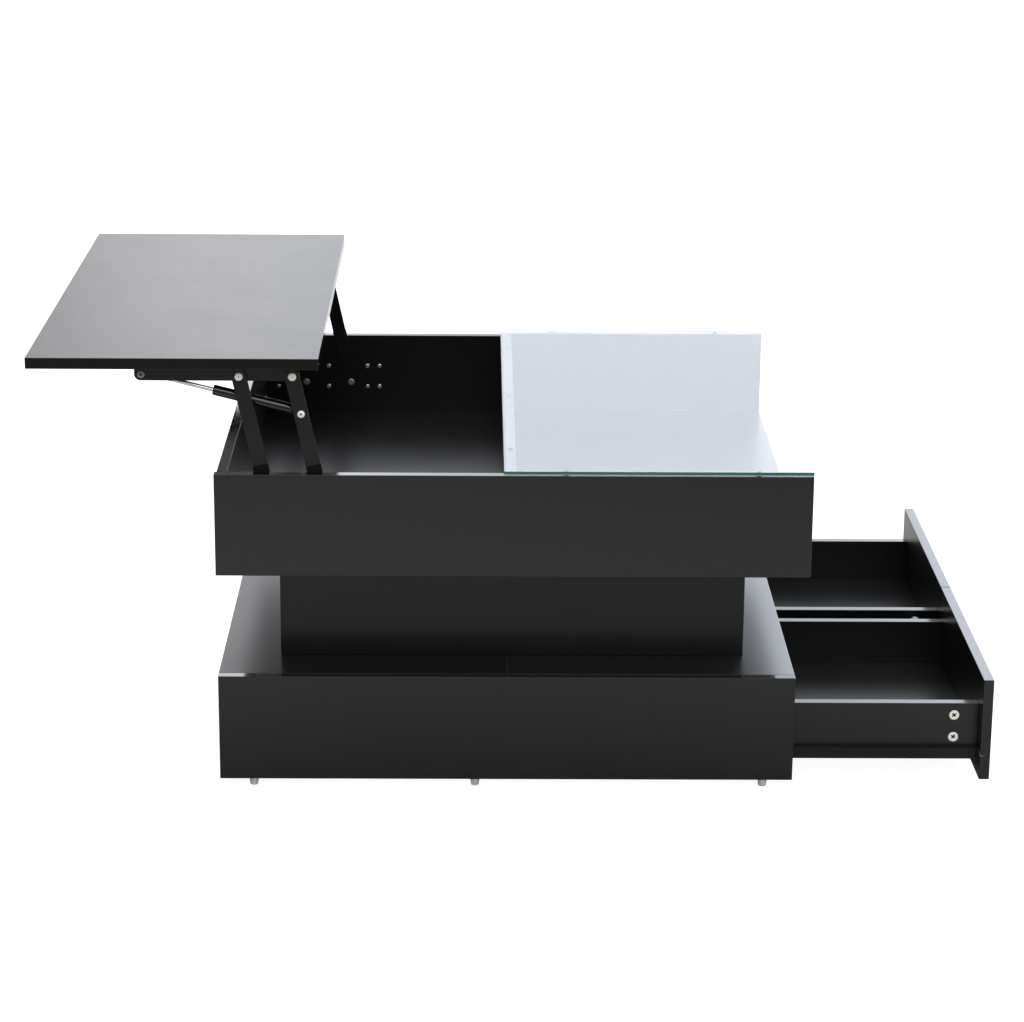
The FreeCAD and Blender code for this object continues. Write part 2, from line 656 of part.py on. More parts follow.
def bracket(label, side, wall):
    """The fixed plate of one lift set, screwed to the inside of a long tray wall."""
    body = new_body(label)
    length, height = "Dims.bracket_length", "(Dims.bracket_above + Dims.bracket_below)"
    outline = sketch_on(body, "XZ_Plane")
    polygon(outline, [("0", "0"), (length, "0"), (length, height), ("0", height)])
    plate = pad(body, outline, "Dims.bracket_thickness", centred=True)
    fillet(body, plate, "Dims.bracket_corner", edges_along(plate.Shape, Vector(0, 1, 0)))
    middle = f"({length} / 2)"
    pivots = [(f"({middle} - Dims.pivot_spacing / 2)", "Dims.bracket_below"),
              (f"({middle} + Dims.pivot_spacing / 2)", "Dims.bracket_below")]
    columns = [middle]
    for offset in ("Dims.bracket_inner_column", "Dims.bracket_outer_column"):
        columns += [f"({middle} - {offset})", f"({middle} + {offset})"]
    rows = ["(Dims.bracket_below - Dims.bracket_lower_row)",
            "(Dims.bracket_below + Dims.bracket_upper_row)"]
    screws = [(column, row) for column in columns for row in rows]
    for centres, radius in ((pivots, FIXED_PIN_HOLE), (screws, SCREW_HOLE)):
        sketch = sketch_on(body, "XZ_Plane")
        circles(sketch, centres, radius)
        pocket(body, sketch, "Dims.bracket_thickness")
    x = f"({BASE_PIVOT_X} + Dims.pivot_spacing / 2 - {length} / 2)"
    z = f"({BASE_PIVOT_Z} - Dims.bracket_below)"
    place(body, x, stand_off(side, "0", "Dims.bracket_thickness"), z)
    wall_x, _, wall_z = corners[wall]
    inner = "back" if side < 0 else "front"
    holes = [(f"({x} + {a} - {wall_x})", f"({z} + {b} - {wall_z})") for a, b in screws]
    depth = "(Dims.screw_length - Dims.bracket_thickness + Dims.fitting_air)"
    drill(wall, inner, holes, SCREW_HOLE, depth)
    seat_y = number(stand_off(side, "Dims.bracket_thickness"))
    return [pan_screw(Vector(number(f"{x} + {a}"), seat_y, number(f"{z} + {b}")),
                      Vector(0, side, 0)) for a, b in screws]


def rail(label, side):
    """The moving rail under the lid: a web that carries the pivots and a screwed flange."""
    body = new_body(label)
    length = "(Dims.rail_left_end + Dims.pivot_spacing + Dims.rail_right_end)"
    height = "(Dims.rail_below_pivot + Dims.pivot_below_lid)"
    gauge, flange = "Dims.rail_thickness", "Dims.rail_flange"
    outline = sketch_on(body, "YZ_Plane")
    under = f"({height} - {gauge})"
    if side < 0:
        points = [("0", "0"), (gauge, "0"), (gauge, under), (flange, under), (flange, height),
                  ("0", height)]
        y = stand_off(side, "Dims.rail_stand_off")
        web = "0"
    else:
        inside = f"({flange} - {gauge})"
        points = [(inside, "0"), (flange, "0"), (flange, height), ("0", height), ("0", under),
                  (inside, under)]
        y = f"({stand_off(side, 'Dims.rail_stand_off')} - {flange})"
        web = inside
    polygon(outline, points)
    profile = pad(body, outline, length)
    corner = [name for name in edges_along(profile.Shape, Vector(0, 1, 0))
              if profile.Shape.getElement(name).BoundBox.XMax < 1e-6
              and profile.Shape.getElement(name).BoundBox.ZMax < 1e-6]
    fillet(body, profile, "Dims.rail_corner", corner)
    first = "Dims.rail_left_end"
    level = "Dims.rail_below_pivot"
    anchor = f"({first} - Dims.strut_anchor_left)"
    holes = [(first, level, FIXED_PIN_HOLE),
             (f"({first} + Dims.pivot_spacing)", level, FIXED_PIN_HOLE),
             (anchor, f"({level} + Dims.strut_anchor_up)", STRUT_PIN_HOLE)]
    for across, up, radius in holes:
        sketch = sketch_on(body, "XZ_Plane", f"-({web} + {gauge} / 2)")
        circles(sketch, [(across, up)], radius)
        pocket(body, sketch, gauge)
    middle = f"({flange} / 2)"
    edge = "Dims.rail_screw_edge"
    stations = [edge, f"({edge} + ({length} - 2 * {edge}) / 3)",
                f"({edge} + 2 * ({length} - 2 * {edge}) / 3)", f"({length} - {edge})"]
    screws = [(station, middle) for station in stations]
    sketch = sketch_on(body, "XY_Plane", height)
    circles(sketch, screws, SCREW_HOLE)
    pocket(body, sketch, f"({gauge} + Dims.fitting_air)")
    x = f"({TOP_PIVOT_X} - Dims.rail_left_end)"
    z = f"({TOP_PIVOT_Z} - Dims.rail_below_pivot)"
    place(body, x, y, z)
    lid_holes = [(f"({x} + {a} - {LID_X})", f"({y} + {b} - {FRONT})") for a, b in screws]
    drill("lift_lid", "bottom", lid_holes, SCREW_HOLE,
          f"(Dims.screw_length - {gauge} + Dims.fitting_air)")
    seat = number(f"{z} + {height} - {gauge}")
    return [pan_screw(Vector(number(f"{x} + {a}"), number(f"{y} + {b}"), seat),
                      Vector(0, 0, 1)) for a, b in screws]


def lift_spot(side, x, z, distance):
    """A point of the lift gear that stands off the long wall on one side."""
    return Vector(number(x), side * (number(INNER_DEPTH) / 2 - distance), number(z))


def base_pivot_rivet(side, x):
    """A shouldered rivet, fixed in the bracket, that the foot of an arm turns on."""
    pin, gap = number("Dims.pivot_radius"), number("Dims.slide_gap")
    plate, near = number("Dims.bracket_thickness"), number("Dims.arm_stand_off")
    grip = number("Dims.arm_thickness") + 2 * gap
    collar = number("Dims.pivot_collar_radius")
    steps = [(plate, pin, pin), (near - gap - plate, collar, collar), (grip, pin, pin)]
    steps += formed_head(number("Dims.base_rivet_head_radius"),
                         number("Dims.rivet_head_height"))
    return turned(lift_spot(side, x, BASE_PIVOT_Z, 0), Vector(0, -side, 0), steps)


def top_pivot_rivet(side, x):
    """A rivet, fixed in the lid rail, that hangs the lid on the top of an arm."""
    pin, gap = number("Dims.pivot_radius"), number("Dims.slide_gap")
    height, collar = number("Dims.rivet_head_height"), number("Dims.pivot_collar_radius")
    near = number("Dims.arm_stand_off") - gap - height
    far = number("Dims.rail_stand_off + Dims.rail_thickness")
    steps = head(number("Dims.rivet_head_radius"), height)
    steps += [(far - near - height, pin, pin)] + formed_head(collar, height / 2)
    return turned(lift_spot(side, x, TOP_PIVOT_Z, near), Vector(0, -side, 0), steps)


def strut_arm_pin(side):
    """The spaced pin, fixed in the right-hand arm, that the cylinder's eye turns on."""
    pin, gap = number("Dims.strut_pin_radius"), number("Dims.slide_gap")
    height, collar = number("Dims.rivet_head_height"), number("Dims.strut_collar_radius")
    near, plate = number("Dims.arm_stand_off"), number("Dims.arm_thickness")
    width = number("Dims.strut_eye_width")
    eye = number("Dims.strut_stand_off") - width / 2
    steps = head(number("Dims.small_head_radius"), height) + [(plate, pin, pin)]
    steps += [(eye - gap - near - plate, collar, collar), (width + 2 * gap, pin, pin)]
    steps += formed_head(collar, height / 2)
    start = lift_spot(side, STRUT_PIVOT_X, STRUT_PIVOT_Z, near - height)
    return turned(start, Vector(0, -side, 0), steps)


def strut_rail_rivet(side):
    """The rivet in the lid rail that faces the boss on the rod's eye."""
    pin, gap = number("Dims.strut_pin_radius"), number("Dims.slide_gap")
    height, collar = number("Dims.rivet_head_height"), number("Dims.strut_collar_radius")
    near, plate = number("Dims.rail_stand_off"), number("Dims.rail_thickness")
    boss = number("Dims.strut_stand_off - Dims.strut_eye_width / 2 - Dims.strut_boss")
    steps = head(number("Dims.small_head_radius"), height) + [(plate, pin, pin)]
    steps += [(boss - gap - near - plate, collar, collar)]
    start = lift_spot(side, ANCHOR_X, ANCHOR_Z, near - height)
    return turned(start, Vector(0, -side, 0), steps)


def strut_pose(side):
    """Where a strut's own frame sits: its arm end at the origin, its length along -X."""
    spot = lift_spot(side, STRUT_PIVOT_X, STRUT_PIVOT_Z, number("Dims.strut_stand_off"))
    return Placement(spot, Rotation(Vector(0, 1, 0), number(STRUT_TILT)))


def strut_eye(x):
    """The round end of a strut, without its hole."""
    width = number("Dims.strut_eye_width")
    return rod(Vector(x, -width / 2, 0), Vector(0, 1, 0), number("Dims.strut_eye_radius"), width)


def strut_cylinder(side):
    """A hollow pressure cylinder with an eye on a neck and a guide hole for the rod."""
    along, across = Vector(-1, 0, 0), Vector(0, 1, 0)
    outer, wall = number("Dims.cylinder_radius"), number("Dims.cylinder_wall")
    neck, end = number("Dims.cylinder_neck"), number("Dims.cylinder_length")
    cap, width = number("Dims.cylinder_cap"), number("Dims.strut_eye_width")
    round_end = [(wall, outer - wall, outer), (end - neck - 2 * wall, outer, outer),
                 (wall, outer, outer - wall)]
    tube = turned(Vector(-neck, 0, 0), along, round_end)
    stem = rod(Vector(0, 0, 0), along, width / 2, neck + wall)
    bore = rod(Vector(-neck - cap, 0, 0), along, outer - wall, end - neck - 2 * cap)
    guide = rod(Vector(cap - end, 0, 0), along, number("Dims.rod_radius + Dims.rod_fit"), cap)
    hole = rod(Vector(0, -width, 0), across, number("Dims.strut_pin_radius + Dims.pivot_fit"),
               2 * width)
    solid = tube.fuse([strut_eye(0), stem]).removeSplitter().cut([bore, guide, hole])
    solid.Placement = strut_pose(side)
    return solid


def strut_rod(side):
    """A rod with its piston inside the cylinder and an eye with a boss at the lid rail."""
    thin, piston = number("Dims.rod_radius"), number("Dims.piston_radius")
    length, reach = number("Dims.piston_length"), number(STRUT_REACH)
    cap, inset = number("Dims.cylinder_cap"), number("Dims.piston_inset")
    start = number("Dims.cylinder_length") - cap - inset - length
    shaft = turned(Vector(-start, 0, 0), Vector(-1, 0, 0),
                   [(length, piston, piston), (reach - start - length, thin, thin)])
    face = side * number("Dims.strut_eye_width") / 2
    boss = rod(Vector(-reach, face, 0), Vector(0, side, 0), number("Dims.strut_pin_radius"),
               number("Dims.strut_boss"))
    solid = shaft.fuse([strut_eye(-reach), boss]).removeSplitter()
    solid.Placement = strut_pose(side)
    return solid


def arm_pair(label, pivot_x, holes):
    """The front and back arms that stand on pivots in line with each other."""
    pair = keep(label, doc.addObject("Part::Compound", label))
    pair.Links = [arm(f"{label}_{name}", side, pivot_x, holes)
                  for name, side in (("front", -1), ("back", 1))]
    doc.recompute()


def lift():
    """Lid, brackets, arms, rails, rivets, screws and gas struts."""
    board("lift_lid", (LID_X, FRONT, LID_Z), (LID_LENGTH, "Dims.table_depth", "Dims.lid_board"))
    turning = "(Dims.pivot_radius + Dims.pivot_fit)"
    loose = "(Dims.pivot_radius + Dims.open_pivot_fit)"
    second = f"({BASE_PIVOT_X} + Dims.pivot_spacing)"
    strut_height = "(Dims.arm_length - Dims.strut_pivot_down)"
    arm_pair("left_lift_arms", BASE_PIVOT_X, [("0", turning), ("Dims.arm_length", turning)])
    arm_pair("right_lift_arms", second, [("0", turning), ("Dims.arm_length", loose),
                                         (strut_height, STRUT_PIN_HOLE)])
    rail_screws, sides = [], (-1, 1)
    for name, side in zip(("front", "back"), sides):
        carcass_screws.extend(bracket(f"{name}_lift_bracket", side, f"tray_{name}_panel"))
        rail_screws += rail(f"{name}_lid_rail", side)
    group("lid_rail_screws", rail_screws)
    group("base_pivot_rivets", [base_pivot_rivet(side, x)
                                for side in sides for x in (BASE_PIVOT_X, second)])
    top_second = f"({TOP_PIVOT_X} + Dims.pivot_spacing)"
    group("top_pivot_rivets", [top_pivot_rivet(side, x)
                               for side in sides for x in (TOP_PIVOT_X, top_second)])
    group("strut_arm_pins", [strut_arm_pin(side) for side in sides])
    group("strut_rail_rivets", [strut_rail_rivet(side) for side in sides])
    group("strut_cylinders", [strut_cylinder(side) for side in sides])
    group("strut_rods", [strut_rod(side) for side in sides])


# ---------------------------------------------------------------- drawers
def drawer(name, side):
    """One drawer, pulled out until its runners overlap by the drawer overlap."""
    inner_x = (f"({BASE_END} + Dims.drawer_front_gap + Dims.runner_length"
               " - Dims.drawer_overlap)")
    box_x = f"({inner_x} - Dims.drawer_length)"
    thick, height = "Dims.board", "Dims.drawer_side_height"

    def from_outside(distance, width):
        """Y of the low side of a piece that starts this far in from the table's edge."""
        return f"({FRONT} + {distance})" if side < 0 else f"({BACK} - {distance} - {width})"

    front, back, bottom = f"{name}_drawer_front", f"{name}_drawer_back", f"{name}_drawer_bottom"
    outer, inner = f"{name}_drawer_outer_side", f"{name}_drawer_inner_side"
    clear_width = f"({DRAWER_WIDTH} - 2 * {thick})"
    back_y = from_outside(f"({OUTER_SIDE} + {thick})", clear_width)
    front_y = from_outside("0", DRAWER_FRONT_WIDTH)
    board(front, (inner_x, front_y, DRAWER_FRONT_Z),
          (thick, DRAWER_FRONT_WIDTH, DRAWER_FRONT_HEIGHT))
    side_size = ("Dims.drawer_length", thick, height)
    board(outer, (box_x, from_outside(OUTER_SIDE, thick), DRAWER_Z), side_size)
    board(inner, (box_x, from_outside(f"({INNER_SIDE} - {thick})", thick), DRAWER_Z), side_size)
    board(back, (box_x, back_y, DRAWER_Z), (thick, clear_width, height))
    low_side, high_side = (outer, inner) if side < 0 else (inner, outer)

    low, tongue = "Dims.drawer_bottom_rise", "(Dims.groove_depth - Dims.groove_fit)"
    top = f"({low} + Dims.drawer_bottom + Dims.groove_fit)"
    groove_start = f"({thick} - Dims.groove_depth)"
    for panel, face in ((low_side, "back"), (high_side, "front")):
        groove(panel, face, (groove_start, low), ("Dims.drawer_length", top), "Dims.groove_depth")
    groove(back, "right", ("0", low), (clear_width, top), "Dims.groove_depth")
    raised = f"({DRAWER_Z} - {DRAWER_FRONT_Z})"
    # The front's groove is sawn from end to end, so it stays open outside the drawer sides.
    groove(front, "left", ("0", f"({raised} + {low})"),
           (DRAWER_FRONT_WIDTH, f"({raised} + {top})"), "Dims.groove_depth")
    panel = new_body(bottom)
    outline = sketch_on(panel, "XY_Plane")
    run = f"(Dims.drawer_length - {thick} + 2 * {tongue})"
    span = f"({clear_width} + 2 * {tongue})"
    polygon(outline, [("0", "0"), (run, "0"), (run, span), ("0", span)])
    pad(panel, outline, "Dims.drawer_bottom")
    place(panel, f"({box_x} + {thick} - {tongue})", f"({back_y} - {tongue})",
          f"({DRAWER_Z} + {low})")

    key = f"{name}_drawer"
    levels = ("Dims.drawer_cam_low", "Dims.drawer_cam_high")
    front_joint(key, front, low_side, "front", levels)
    front_joint(key, front, high_side, "back", levels)
    back_levels = ("Dims.drawer_back_cam_low", "Dims.drawer_cam_high")
    cam_joint(key, back, "left", back_levels, low_side, high_side)
    group(f"{key}_cams", cam_solids[key])
    group(f"{key}_bolts", bolt_solids[key])
    runners(name, side, inner_x, (outer, inner))


def front_joint(key, front, panel, cam_face, levels):
    """Cams and bolts that pull a drawer side against the drawer front."""
    x, y, z = corners[panel]
    front_x, front_y, front_z = corners[front]
    middle, setback = "Dims.board / 2", "(Dims.drawer_length - Dims.cam_setback)"
    drill(panel, cam_face, [(setback, level) for level in levels], CAM_HOLE, "Dims.cam_depth")
    drill(panel, "right", [(middle, level) for level in levels], BOLT_HOLE, "Dims.cam_setback")
    drill(front, "left", [(f"({y} + {middle} - {front_y})", f"({z} + {level} - {front_z})")
                          for level in levels], BOLT_HOLE, "Dims.bolt_anchor")
    mouth_y = number(y if cam_face == "front" else f"{y} + Dims.board")
    inward = Vector(0, 1 if cam_face == "front" else -1, 0)
    for level in levels:
        height = number(f"{z} + {level}")
        add_cam(key, Vector(number(f"{x} + {setback}"), mouth_y, height), inward)
        start = Vector(number(f"{front_x} + Dims.bolt_anchor"), number(f"{y} + {middle}"), height)
        add_bolt(key, start, Vector(-1, 0, 0))


class Runner:
    """A channel on the carcass, an angle under the drawer, and a roller on each.

    Depth is measured from the carcass face that carries the channel, towards the drawer.
    """

    def __init__(self, side, inset, facing, inner_x):
        """Place the runner: inset of the carcass face from the table's edge, and its normal."""
        self.origin_y = side * (number("Dims.table_depth / 2") - inset)
        self.into = -side * facing
        self.length, self.gauge = number("Dims.runner_length"), number("Dims.runner_gauge")
        self.ledge, self.space = number("Dims.runner_ledge"), number("Dims.runner_space")
        self.radius, self.width = number("Dims.roller_radius"), number("Dims.roller_width")
        self.air, self.pin = number("Dims.roller_air"), number("Dims.roller_pin_radius")
        self.angle_x = number(inner_x) - self.length
        self.channel_x = number(BASE_END) - self.gauge - self.length
        self.angle_low = number(DRAWER_Z) - self.gauge
        self.angle_high = self.angle_low + number("Dims.runner_height")
        self.fixed_z = self.angle_high - self.gauge - self.air / 2 - self.radius
        self.channel_low = self.fixed_z - self.radius - self.air - self.gauge
        self.channel_high = self.angle_high + self.air + self.gauge
        self.middle = number(CHANNEL_MIDDLE)
        self.moving_z = self.channel_low + self.gauge + self.air / 2 + self.radius
        inset = number("Dims.roller_inset")
        self.fixed_x = self.channel_x + self.length - inset
        self.moving_x = self.angle_x + inset

    def spot(self, x, depth, z):
        """A point at a depth from the carcass face."""
        return Vector(x, self.origin_y + self.into * depth, z)

    def strip(self, x, near, far, low, high):
        """A flat strip of the runner's length between two depths and two heights."""
        start = min(self.spot(x, near, low), self.spot(x, far, low), key=lambda spot: spot.y)
        return Part.makeBox(self.length, far - near, high - low, start)

    def axle(self, x, depth, z, outward):
        """A headed pin that starts in a web and carries a roller."""
        axis = Vector(0, self.into * outward, 0)
        grip = self.gauge + 2 * self.air + self.width
        bulge = self.pin + number("Dims.roller_pin_head")
        steps = [(grip, self.pin, self.pin)] + formed_head(bulge, self.gauge)
        return turned(self.spot(x, depth, z), axis, steps)

    def roller(self, x, depth, z):
        """A plastic roller with eased rims; depth is its side nearer the carcass."""
        rim = number("Dims.edge_round")
        start, axis = self.spot(x, depth, z), Vector(0, self.into, 0)
        solid = turned(start, axis, [(rim, self.radius - rim, self.radius),
                                     (self.width - 2 * rim, self.radius, self.radius),
                                     (rim, self.radius, self.radius - rim)])
        return solid.cut(rod(start, axis, self.pin + number("Dims.pivot_fit"), self.width))

    def channel(self, screw_x):
        """The channel: a web on the carcass, two flanges, the fixed axle and screw holes."""
        low, high, gauge = self.channel_low, self.channel_high, self.gauge
        web = self.strip(self.channel_x, 0, gauge, low, high)
        floor = self.strip(self.channel_x, 0, gauge + self.ledge, low, low + gauge)
        roof = self.strip(self.channel_x, 0, gauge + self.ledge / 2, high - gauge, high)
        axle = self.axle(self.fixed_x, 0, self.fixed_z, 1)
        holes = [rod(self.spot(x, 0, self.middle), Vector(0, self.into, 0), number(SCREW_HOLE), gauge)
                 for x in screw_x]
        return web.fuse([floor, roof, axle]).removeSplitter().cut(holes)

    def angle(self, screw_x):
        """The angle: a web on the drawer side, a foot below it, a ledge and the moving axle."""
        low, high, gauge, space = self.angle_low, self.angle_high, self.gauge, self.space
        web = self.strip(self.angle_x, space - gauge, space, low, high)
        foot_far = space + number("Dims.runner_foot")
        foot = self.strip(self.angle_x, space - gauge, foot_far, low, low + gauge)
        ledge = self.strip(self.angle_x, space - gauge - self.ledge, space, high - gauge, high)
        axle = self.axle(self.moving_x, space, self.moving_z, -1)
        holes = [rod(self.spot(x, self.foot_row(), low), Vector(0, 0, 1), number(SCREW_HOLE),
                     gauge) for x in screw_x]
        return web.fuse([foot, ledge, axle]).removeSplitter().cut(holes)

    def foot_row(self):
        """Depth of the row of screws through the foot."""
        return self.space + number("Dims.board / 2")

    def rollers(self):
        """The roller on the channel and the roller on the angle."""
        inner = self.space - self.gauge - self.air - self.width
        return (self.roller(self.fixed_x, self.gauge + self.air, self.fixed_z),
                self.roller(self.moving_x, inner, self.moving_z))


def runners(name, side, inner_x, drawer_sides):
    """Both runner pairs of one drawer, with their screws."""
    key = f"{name}_drawer"
    wall, post = f"base_{name}_panel", "base_partition"
    depth = "(Dims.screw_length - Dims.runner_gauge + Dims.fitting_air)"
    shift = "Dims.channel_screw_shift" if side > 0 else "0"
    channel_rows = [f"(Dims.runner_length - Dims.channel_screw_first - {shift})",
                    f"(Dims.runner_length - Dims.channel_screw_first - {shift}"
                    " - Dims.channel_screw_pitch)"]
    angle_rows = ["(Dims.runner_length - Dims.angle_screw_first)",
                  "(Dims.runner_length - Dims.angle_screw_first - Dims.angle_screw_pitch)"]
    channel_x = f"({BASE_END} - Dims.runner_gauge - Dims.runner_length)"
    angle_x = f"({inner_x} - Dims.runner_length)"
    fixed, moving, angles, screws = [], [], [], []
    insets = (number("Dims.board"), number("Dims.table_depth / 2 - Dims.board / 2"))
    for inset, facing, carrier, box_side in zip(insets, (1, -1), (wall, post), drawer_sides):
        runner = Runner(side, inset, facing, inner_x)
        inner_face = "back" if runner.into > 0 else "front"
        carrier_x, _, carrier_z = corners[carrier]
        drill(carrier, inner_face, [(f"({channel_x} + {row} - {carrier_x})",
                                     f"({CHANNEL_MIDDLE} - {carrier_z})")
                                    for row in channel_rows], SCREW_HOLE, depth)
        side_x = corners[box_side][0]
        drill(box_side, "bottom", [(f"({angle_x} + {row} - {side_x})", "Dims.board / 2")
                                   for row in angle_rows], SCREW_HOLE, depth)
        channel_at = [number(f"{channel_x} + {row}") for row in channel_rows]
        angle_at = [number(f"{angle_x} + {row}") for row in angle_rows]
        channel_solids.append(runner.channel(channel_at))
        carcass_screws.extend(
            pan_screw(runner.spot(x, runner.gauge, runner.middle), Vector(0, -runner.into, 0))
            for x in channel_at)
        angles.append(runner.angle(angle_at))
        screws += [pan_screw(runner.spot(x, runner.foot_row(), runner.angle_low),
                             Vector(0, 0, 1)) for x in angle_at]
        for rollers, roller in zip((fixed, moving), runner.rollers()):
            rollers.append(roller)
    group(f"{name}_base_rollers", fixed)
    group(f"{key}_angles", angles)
    group(f"{key}_rollers", moving)
    group(f"{key}_screws", screws)


def build():
    """Make every sub-part."""
    fill_sheet()
    base()
    pedestal()
    tray()
    group("carcass_cams", cam_solids["carcass"])
    group("carcass_bolts", bolt_solids["carcass"])
    floor_glides()
    glass()
    lift()
    drawer("front", -1)
    drawer("back", 1)
    group("base_channels", channel_solids)
    group("carcass_screws", carcass_screws)
    doc.recompute()


def check():
    """Stop if any object failed or any node is empty or invalid."""
    for thing in doc.Objects:
        if {"Invalid", "Error"} & set(thing.State):
            raise RuntimeError(f"{thing.Label} failed: {thing.State}")
    for label, thing in nodes.items():
        if thing.Shape.isNull() or not thing.Shape.isValid():
            raise RuntimeError(f"{label} has no valid shape")


def export():
    """Write each node to its own STEP file."""
    os.makedirs("parts", exist_ok=True)
    for label, thing in nodes.items():
        thing.Shape.exportStep(f"parts/{label}.step")
    print(f"{len(nodes)} nodes written")


build()
check()
export()
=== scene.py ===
"""Looks of the display table: its finishes, its small turned pieces, the studio and the camera.

Metres, +Z up, +X towards the drawers, +Y to the back, origin on the floor under the base.
"""

import logging
import math
from dataclasses import dataclass, field
from enum import Enum

import bmesh
import bpy
import numpy as np
from mathutils import Matrix, Vector


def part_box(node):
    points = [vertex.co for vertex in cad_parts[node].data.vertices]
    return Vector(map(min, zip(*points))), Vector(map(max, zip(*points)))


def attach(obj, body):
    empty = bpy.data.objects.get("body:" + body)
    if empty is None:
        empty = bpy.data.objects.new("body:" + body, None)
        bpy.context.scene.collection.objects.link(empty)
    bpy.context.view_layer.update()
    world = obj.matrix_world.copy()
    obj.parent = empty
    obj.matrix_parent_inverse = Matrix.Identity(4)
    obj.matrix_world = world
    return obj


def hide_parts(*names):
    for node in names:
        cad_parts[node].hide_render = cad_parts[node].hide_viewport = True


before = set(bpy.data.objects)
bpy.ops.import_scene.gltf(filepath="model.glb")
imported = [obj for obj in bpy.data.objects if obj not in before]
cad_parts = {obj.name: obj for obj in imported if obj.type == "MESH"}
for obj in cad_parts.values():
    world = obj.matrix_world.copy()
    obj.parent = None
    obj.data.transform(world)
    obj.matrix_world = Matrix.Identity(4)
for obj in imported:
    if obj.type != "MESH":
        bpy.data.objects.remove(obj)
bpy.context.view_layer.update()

MM = 0.001
MERGE = 1e-7  # metres within which the points of a seam or a pole are one
RECESS = "recess"  # the attribute that holds how deep a point lies in a fastener's recess
FIRST_TURN, TURN_STEP = 0.55, 1.9  # radians, so that no two fasteners' drives stand alike
log = logging.getLogger("display_table")

Colour = tuple[float, float, float]
Place = tuple[float, float, float]
Span = tuple[float, float]  # where a blend starts and ends
Spot = tuple[float, float]  # x and z on a long wall
BLACK: Colour = (0.0, 0.0, 0.0)
WHITE: Colour = (1.0, 1.0, 1.0)


# ------------------------------------------------------------------ shader nodes
class Signal:
    """A shader socket that Python's operators work on: an expression adds its Math nodes."""

    def __init__(self, graph: "Graph", socket: bpy.types.NodeSocket) -> None:
        """Keep the graph and the output socket."""
        self.graph = graph
        self.socket = socket

    def _math(self, operation: str, first: "Signal | float", second: "Signal | float") -> "Signal":
        """One Math node on two numbers or sockets."""
        return self.graph.node("ShaderNodeMath", {"operation": operation},
                               {"Value": first, "Value_001": second})

    def __add__(self, other: "Signal | float") -> "Signal":
        """Sum."""
        return self._math("ADD", self, other)

    def __radd__(self, other: float) -> "Signal":
        """Sum, with the number first."""
        return self._math("ADD", other, self)

    def __sub__(self, other: "Signal | float") -> "Signal":
        """Difference."""
        return self._math("SUBTRACT", self, other)

    def __rsub__(self, other: float) -> "Signal":
        """Difference, with the number first."""
        return self._math("SUBTRACT", other, self)

    def __mul__(self, other: "Signal | float") -> "Signal":
        """Product."""
        return self._math("MULTIPLY", self, other)

    def __rmul__(self, other: float) -> "Signal":
        """Product, with the number first."""
        return self._math("MULTIPLY", other, self)

    def __abs__(self) -> "Signal":
        """Size without sign."""
        return self._math("ABSOLUTE", self, 0.0)

    def out(self, name: str) -> "Signal":
        """Another output of the same node."""
        return Signal(self.graph, self.graph.find(self.socket.node.outputs, name))

    def between(self, low: float, high: float, start: float = 0.0, end: float = 1.0) -> "Signal":
        """Map low..high smoothly to start..end.

        Args:
            low: value that becomes start.
            high: value that becomes end.
            start: result at and below low.
            end: result at and above high.

        Returns:
            The eased value.
        """
        return self.graph.node(
            "ShaderNodeMapRange", {"interpolation_type": "SMOOTHSTEP"},
            {"Value": self, "From Min": low, "From Max": high, "To Min": start, "To Max": end})


